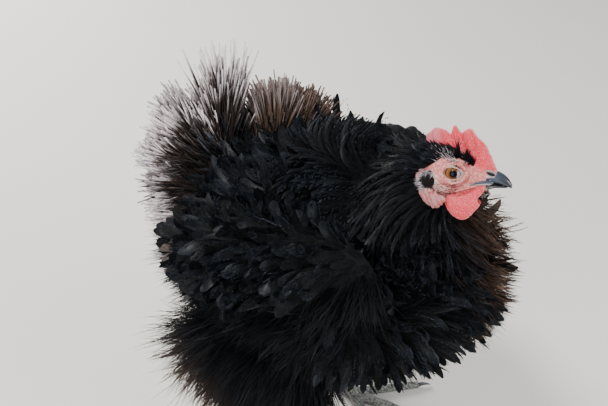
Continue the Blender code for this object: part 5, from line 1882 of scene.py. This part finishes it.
@dataclass
class HeadCoat:
    """The head's small feathers, the tufts of its ears and the bristles round its face.

    The spikes are heights along the comb's foot in groups, and the gather leans each group together.
    """

    skin: bpy.types.Object
    spacing: float = 1.25
    white: float = 0.97
    edge_hair: Hair = Hair((0.6, 1.2), 0.34, (15, 50), (-10, 25))
    chin_hair: Hair = Hair((3.0, 5.5), 0.60, (15, 55), (-10, 20))
    ear_hair: Hair = Hair((2.2, 4.4), 0.40, (14, 46), (-45, 0))
    comb_hair: Hair = Hair((3.5, 6.5), 0.42, (30, 62), (-30, 10))
    ear_hairs: int = 680
    spikes: tuple = (
        (-8.0, 3.0), (-4.0, 4.0), (-1.6, 4.5), (0.6, 19.0), (2.4, 7.0), (4.4, 5.0), (6.0, 12.0), (7.4, 5.5),
        (8.8, 7.5), (11.0, 3.0),
    )
    gather: tuple = (
        (-8.0, -0.4), (-2.0, 0.16), (0.6, 0.0), (2.8, -0.18),
        (5.0, 0.20), (7.0, 0.0), (8.4, -0.1), (10.8, 0.1),
    )

    def build(self) -> list[bpy.types.Object]:
        """Grows the head's coats on its skin, in the head's millimetres."""
        luck = Luck(61)
        points, normals = points_of(self.skin.data), normals_of(self.skin.data)
        x, y, z = points.T
        covered = dye_of(self.skin.data, "flesh")[:, 2]
        feathers = Coat("head_feathers", Kind.SCALE, 62)
        bristles = Coat("head_bristles", Kind.BRISTLE, 63)
        for at, normal in self.spots(points, normals, covered > 0.35, self.spacing, luck):
            self.feather(feathers, at, normal, luck)
        for at, normal in self.spots(points, normals, (covered > 0.02) & (covered < 0.8), 0.62, luck):
            pale = self.white if luck.chance(0.42) else 0.0
            self.bristle(bristles, at, normal, luck, 4.0, pale)
        cheek = (covered < 0.02) & (z < -7.0) & (z > -14.5) & (x > -14) & (x < 2) & (np.abs(y) > 8)
        for at, normal in self.spots(points, normals, cheek, 1.1, luck):
            self.bristle(bristles, at, normal, luck, 1.8, 0.0)
        chin = (x > 8) & (x < 19) & (z < -8.5) & (np.abs(y) < 5)
        for at, normal in self.spots(points, normals, chin, 0.9, luck):
            lie = along_skin(Vector((0.7, 0, -1)), normal)
            hair = self.chin_hair.drawn(luck)
            self.put(bristles, at, normal, lie, *hair, luck, (1.0, luck.span(0.0, 0.45), 1.0))
        for _, way in SIDES:
            self.ear(bristles, way, luck)
        self.brow_tuft(bristles, points, normals, luck)
        return [feathers.build(), bristles.build()]

    @staticmethod
    def spots(
        points: np.ndarray, normals: np.ndarray, wanted: np.ndarray, spacing: float, luck: Luck
    ) -> Iterator[tuple[Vector, Vector]]:
        """Places at least the spacing apart among those wanted, each with its normal."""
        choice = np.flatnonzero(wanted)
        for i in choice[scattered(points[choice], spacing, luck.draw)].tolist():
            yield Vector(points[i]), Vector(normals[i])

    @staticmethod
    def place(at: Vector) -> tuple[float, float]:
        """A place on the unwrap of the head's skin."""
        round_it = math.atan2(at.y, at.z) / (2 * math.pi) + 0.5
        return 0.02 + 0.96 * round_it, 0.5 + max(-33.0, min(33.0, at.x)) / 72.0

    def put(
        self, coat: Coat, at: Vector, normal: Vector, lie: Vector, length: float, width: float, lift: float,
        curl: float, luck: Luck, dye: tuple[float, float, float],
    ) -> None:
        """Adds one small feather, given in the head's millimetres."""
        turn = HEAD_TURN.to_matrix()
        root = Root(HEAD @ at, turn @ normal, turn @ lie, dye, self.place(at))
        coat.add(length * MM, width * MM, lift, curl, luck.near(0, 14), luck.near(0, 14), root)

    def feather(self, coat: Coat, at: Vector, normal: Vector, luck: Luck) -> None:
        """One small contour feather that points back over the head."""
        back = rise(4.0 - at.x, 26.0)
        away = (at - Vector((20, 0, 4))).normalized() + Vector((-0.7, 0, -0.25))
        lie = luck.turned(along_skin(away, normal), normal, 0.2)
        self.put(
            coat, at, normal, lie, mix(4.2, 12.0, back) * luck.span(0.8, 1.2), mix(1.5, 3.4, back),
            luck.span(14, 30), luck.span(8, 34), luck, (0.05, 0.0, luck.span(0.1, 1)),
        )

    def bristle(
        self, coat: Coat, at: Vector, normal: Vector, luck: Luck, length: float, pale: float
    ) -> None:
        """One hair at the edge of the feathers."""
        lie = luck.turned(along_skin(Vector((-1, 0, -0.15)), normal), normal, 0.4)
        self.put(coat, at, normal, lie, *self.edge_hair.drawn(luck, length), luck, (0.1, pale, luck.span()))

    def ear(self, coat: Coat, way: int, luck: Luck) -> None:
        """A dark tuft over the ear, framed by pale hairs that point back."""
        out = Vector((-0.15, way, 0)).normalized()
        lie = along_skin(Vector((-1, 0, -0.35)), out)
        for i in range(self.ear_hairs):
            dark = i % 5 < 3
            angle = luck.span(0, 2 * math.pi) if dark else luck.span(0.35, 1.45) * math.pi
            reach = math.sqrt(luck.span())
            reach = 3.5 * reach if dark else mix(4.2, 6.4, reach)
            spot = EAR_AT + Vector((reach * 1.05 * math.cos(angle), 0, reach * math.sin(angle)))
            at = Vector((spot.x, way * (EAR_AT.y - (0.7 if dark else 0.3)), spot.z))
            turned = luck.turned(lie, out, 0.9 if dark else 0.5)
            hair = self.ear_hair.drawn(luck)
            dye = (0.3, 0.0, 0.8) if dark else (0.1, luck.pick(self.white, self.white, 0.3), 1.0)
            self.put(coat, at, out, turned, *hair, luck, dye)

    def brow_tuft(self, coat: Coat, points: np.ndarray, normals: np.ndarray, luck: Luck) -> None:
        """Upright black hairs along the foot of the comb, above and before the eye."""
        x, y, z = points.T
        foot = curve(HeadSkin.comb_foot, x)
        base = curve(((-9.0, 11.6), (-4.0, 10.2), (0.5, 8.8), (7.0, 7.4), (10.0, 6.6)), x)
        near = (np.abs(z - base) < 1.5) & (x > -8) & (x < 11.0) & (np.abs(y) > 2.2) & (np.abs(y) < 12.5)
        for at, normal in self.spots(points, normals, near, 0.5, luck):
            out = Vector((0, math.copysign(1, at.y), 0))
            tall, lean = (float(np.interp(at.x, *zip(*line))) for line in (self.spikes, self.gather))
            aim = Vector((lean + luck.near(0, 0.06), 0, 1.0)) + out * luck.span(0.12, 0.45)
            aim = aim.normalized()
            self.put(
                coat, at, along_skin(out, aim), aim, tall * luck.span(0.55, 1.05), 0.50, luck.near(0, 7),
                luck.span(-16, 4), luck, (0.1, 0.0, 0.2),
            )
        pale = (z > foot - 4.0) & (z < foot + 0.4) & (x > -16) & (x < 2) & (np.abs(y) > 2.0)
        for at, normal in self.spots(points, normals, pale, 1.0, luck):
            lie = along_skin(Vector((-1, 0, 0.4)), normal)
            hair = self.comb_hair.drawn(luck)
            self.put(coat, at, normal, lie, *hair, luck, (0.1, luck.pick(0.0, self.white), 1.0))


@dataclass
class Eyes:
    """The two eyeballs."""

    forward: float = 0.16

    def build(self, dresser: Dresser) -> None:
        """Makes each eye with its clear front drawn out a little."""
        turn = HEAD_TURN.to_matrix()
        for side, way in SIDES:
            gaze = Vector((self.forward, way, 0.02)).normalized()
            eye = Bench.ball(f"eyeball_{side}", HeadSkin.sided(EYE_AT, way), [EYE_RADIUS - 0.1] * 3, 0.0, 48)
            for vert in eye.data.vertices:
                offset = vert.co - HeadSkin.sided(EYE_AT, way)
                front = float(smooth_step((offset.normalized().dot(gaze) - 0.72) / 0.28))
                vert.co += gaze * 0.25 * front
            eye.data.transform(HEAD)
            eye.data.shade_smooth()
            centre = HEAD @ HeadSkin.sided(EYE_AT, way) + dresser.shift
            ahead = along_skin(Vector((1, 0, 0)), gaze)
            finish = EyeFinish().material(side, centre, turn @ gaze, turn @ ahead)
            dresser.settle(eye, finish, [f"eye_{side}"])


@dataclass
class Bill:
    """Both halves of the bill, with nostrils, the flaps over them and the pale cutting edge."""

    upper: tuple = (
        (12.0, 5.0, -6.6, 5.6), (19.0, 4.9, -5.5, 5.6), (23.0, 4.0, -4.9, 5.1), (27.0, 3.0, -5.0, 4.3),
        (30.5, 1.2, -5.7, 3.2), (33.4, -1.4, -6.3, 1.9), (35.4, -4.3, -6.9, 0.6),
    )
    lower: tuple = (
        (12.0, -7.3, -10.0, 4.9), (19.0, -6.6, -8.7, 4.6), (24.0, -5.9, -7.8, 4.0), (29.0, -5.6, -7.2, 3.0),
        (32.5, -6.0, -6.9, 1.4),
    )
    lip: tuple = (
        (9.8, 9.9, -7.2), (12.0, 9.2, -6.6), (15.0, 8.0, -5.8), (19.5, 6.5, -5.0), (24.5, 5.0, -4.6),
    )

    def build(self, dresser: Dresser) -> None:
        """Makes and dresses both halves."""
        for name, table in (("upper", self.upper), ("lower", self.lower)):
            half = self.half(name, table)
            if name == "upper":
                self.nostrils(half)
                self.lips(half)
            else:
                half = Bench.joined(half.name, [half, self.mouth()])
            Bench.modify(half, "REMESH", mode="VOXEL", voxel_size=0.30)
            Bench.modify(half, "SMOOTH", factor=0.5, iterations=3)
            self.dye(half.data, name == "upper")
            half.data.transform(HEAD)
            half.data.shade_smooth()
            dresser.settle(half, HornFinish().material(f"bill_{name}"), [f"bill_{name}"])

    @staticmethod
    def half(name: str, table: Sequence[Sequence[float]]) -> bpy.types.Object:
        """One half of the bill through its stations."""
        rows = np.array(table)
        stations = []
        for x in np.linspace(rows[0, 0], rows[-1, 0], 40):
            top, low, wide = (float(curve(rows[:, [0, k]], x)) for k in (1, 2, 3))
            stations.append((x, 0.0, (top + low) / 2, wide, (top - low) / 2))
        return Bench.lofted(f"bill_horn_{name}", stations, 32, 2.2)

    @staticmethod
    def nostrils(half: bpy.types.Object) -> None:
        """Cuts each nostril and sets the flap over it."""
        slits = [Bench.ball("slit", (21.8, way * 5.3, 1.5), (3.0, 2.2, 1.40), 0.26, 20) for _, way in SIDES]
        Bench.cut(half, slits)
        flaps = [Bench.ball("flap", (21.0, way * 4.2, 2.5), (3.3, 1.5, 1.1), 0.26, 20) for _, way in SIDES]
        Bench.joined(half.name, [half, *flaps])

    def lips(self, half: bpy.types.Object) -> None:
        """Draws the horn back along both corners of the mouth."""
        x, y, z = np.array(self.lip).T
        strips = []
        for _, way in SIDES:
            stations = []
            for at in np.linspace(x[0], x[-1], 24):
                swell = ((9.8, 0.35), (14.0, 1.05), (20.0, 1.45), (23.2, 1.1), (24.5, 0.25))
                thick = float(curve(swell, at))
                out = float(curve(list(zip(x, y)), at)) - 0.25
                stations.append((at, way * out, float(curve(list(zip(x, z)), at)) + 0.5, thick * 0.7, thick))
            strips.append(Bench.lofted("lip", stations, 12))
        Bench.joined(half.name, [half, *strips])

    @staticmethod
    def dye(mesh: bpy.types.Mesh, upper: bool) -> None:
        """Stains how far to the tip, how near the edge, how fleshy, and painted shade in the slits."""
        x, y, z = points_of(mesh).T
        tip = np.clip((x - 22.0) / 13.0, 0, 1)
        if upper:
            wedge_line = ((9.5, -5.5), (12.0, -3.8), (16.0, -2.6), (20.0, -1.6), (24.0, -0.6), (25.5, 0.8))
            wedge = curve(wedge_line, x)
            base = smooth_step((25.6 - x) / 0.9) * smooth_step((z - wedge) / 0.7)
            cut_line = ((9.8, -7.3), (12.0, -6.7), (15.0, -5.9), (19.5, -5.1), (24.5, -4.8), (30.5, -5.5))
            cutting = curve(cut_line, x)
            edge = 0.7 * smooth_step((cutting + 0.40 - z) / 0.4) * smooth_step((27.0 - x) / 5.0)
            lean = z - 1.5 + 0.27 * (x - 21.8)
            nostril = np.hypot((x - 21.6) / 4.2, lean / 2.4)
            flap = smooth_step(2.4 - nostril * 2.0) * smooth_step((np.abs(y) - 2.6) / 0.8)
            # slit: painted shade in the nostril's opening.
            slit = smooth_step(1.8 - np.hypot((x - 22.0) / 2.9, (lean + 0.1) / 1.25) * 1.4)
            edge = np.maximum(edge, 0.6 * flap * (1 - slit))
        else:
            base = smooth_step((17.5 - x) / 1.5) * smooth_step((-7.8 - z) / 0.6)
            tip = np.full_like(x, 0.8)
            edge, flap = 0.45 * smooth_step((29.0 - x) / 6.0), np.zeros_like(x)
            # slit: painted shade along the mouth line, under the upper bill.
            slit = smooth_step((z + 6.6) / 0.5) * smooth_step((29.0 - x) / 2.0)
        stain(mesh, "horn", np.stack((tip, edge, base * (1 - 0.8 * flap), slit), 1))

    @staticmethod
    def mouth() -> bpy.types.Object:
        """The inside of the mouth between both halves, darkened as painted shade."""
        return Bench.ball("mouth", (18.0, 0.0, -5.9), (12.5, 3.8, 1.6), 0.02, 24)


@dataclass
class Legs:
    """Plated shanks, four toes a foot and their claws."""

    plate: float = 2.6
    radius: float = 5.2

    def build(self, dresser: Dresser) -> None:
        """Makes both legs and their claws."""
        finish, horn = LegFinish().material(), HornFinish().material("claw_horn")
        for side, way in SIDES:
            hub = Vector((ANKLE.x + 0.003, way * ANKLE.y, 0.0))
            forms, claws = [self.shank(way), self.ball(way)], []
            for name, length, radius, angle in TOES:
                turn = Matrix.Rotation(math.radians(angle) * way, 4, "Z")
                place = Matrix.Translation(hub) @ turn @ Matrix.Scale(MM, 4)
                toe, claw = self.toe(length, radius), self.claw(length, radius)
                toe.data.transform(place)
                claw.data.transform(place)
                forms.append(toe)
                claws.append(claw)
            leg = Bench.fused(f"leg_{side}", forms, 0.0008, 1)
            leg.data.shade_smooth()
            nodes = [f"shank_{side}", f"foot_{side}", *(f"toe_{name}_{side}" for name, *_ in TOES)]
            dresser.settle(leg, finish, nodes)
            talons = Bench.joined(f"claws_{side}", claws)
            points = points_of(talons.data)
            talons.data.shade_smooth()
            dye = np.zeros((len(points), 4))
            dye[:, 0] = 0.5
            stain(talons.data, "horn", dye)
            dresser.settle(talons, horn, [f"claw_{name}_{side}" for name, *_ in TOES])

    def shank(self, way: int) -> bpy.types.Object:
        """A shank with its front plates stepped like tiles."""
        top, low = Vector((HOCK.x, way * HOCK.y, HOCK.z)), Vector((ANKLE.x, way * ANKLE.y, ANKLE.z))
        length = (low - top).length / MM
        stations = []
        for x in np.linspace(0, length, 96):
            girth = float(curve(((0, 6.4), (18, self.radius), (66, self.radius * 0.92), (length, 5.4)), x))
            step = 0.42 * (x / 5.4 % 1.0)
            stations.append((x, 0.0, step / 2, girth * 0.84, girth * 0.94 + step / 2))
        shank = Bench.lofted("shank", stations, 20, 2.2)
        ahead = (low - top).normalized()
        front = along_skin(Vector((1, 0, 0)), ahead)
        side = front.cross(ahead)
        turn = Matrix((ahead, side, front)).transposed().to_4x4()
        shank.data.transform(Matrix.Translation(top) @ turn @ Matrix.Scale(MM, 4))
        return shank

    @staticmethod
    def ball(way: int) -> bpy.types.Object:
        """The ball of the foot, above and below the toes' roots."""
        at = (ANKLE.x + 0.002, way * ANKLE.y, 0.0088)
        return Bench.ball("foot", at, (0.0078, 0.0070, 0.0086), 0.0, 20)

    def toe(self, length: float, radius: float) -> bpy.types.Object:
        """A padded toe with stepped plates along its top, resting on the floor."""
        stations = []
        for x in np.linspace(0.0, length, int(length / 0.65)):
            t = x / length
            thick = mix(radius, radius * 0.66, t) + 0.45 * math.sin(math.pi * 3 * t) ** 2
            step = 0.30 * (x / self.plate % 1.0)
            stations.append((x, 0.0, thick * 0.90 + step / 2, thick * 0.98, thick * 0.88 + step / 2))
        return Bench.lofted("toe", stations, 16, 2.3)

    @staticmethod
    def claw(length: float, radius: float) -> bpy.types.Object:
        """A curved tapering claw."""
        tip = radius * 0.66
        stations = []
        for t in np.linspace(0.0, 1.0, 14):
            high = tip * 0.88 + 0.9 * math.sin(math.pi * t) - 1.4 * t * t
            thick = mix(tip * 0.84, 0.35, t ** 1.2)
            stations.append((length - 0.6 + CLAW_LENGTH * t, 0.0, high, thick * 0.72, thick))
        return Bench.lofted("claw", stations, 14)


def main() -> None:
    """Builds the hen and her studio."""
    logging.basicConfig(level=logging.INFO, format="%(message)s")
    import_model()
    low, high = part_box("eye_right")
    shift = (low + high) / 2 - HEAD @ HeadSkin.sided(EYE_AT, -1)
    dresser = Dresser(shift)
    Studio(shift).build()

    head = HeadSkin().build()
    crest = HeadCoat(head).build()
    head.data.transform(HEAD)
    bare = HeadSkin.bare(head.data)
    hide = Hide()
    body = hide.build()
    skin = Bench.joined("skin", [head, body])
    skin.data.shade_smooth()
    covered = ["torso", "neck", "head", "comb", "tail"]
    covered += [f"{part}_{side}" for part in ("earlobe", "wattle", "wing", "thigh") for side, _ in SIDES]
    dresser.settle(skin, FleshFinish().material(), covered)

    Eyes().build(dresser)
    Bill().build(dresser)
    Legs().build(dresser)

    plumage = PlumageFinish().material()
    coats = [*crest, *BodyCoat(hide, bare).build(), *NeckCoat(hide, bare).build(), *TailCoat(hide).build()]
    for side, way in SIDES:
        coats += WingCoat(hide, side, way).build()
        coats += ThighCoat(hide, side, way).build()
    for coat in coats:
        dresser.settle(coat, plumage)


if __name__ == "__main__":
    main()
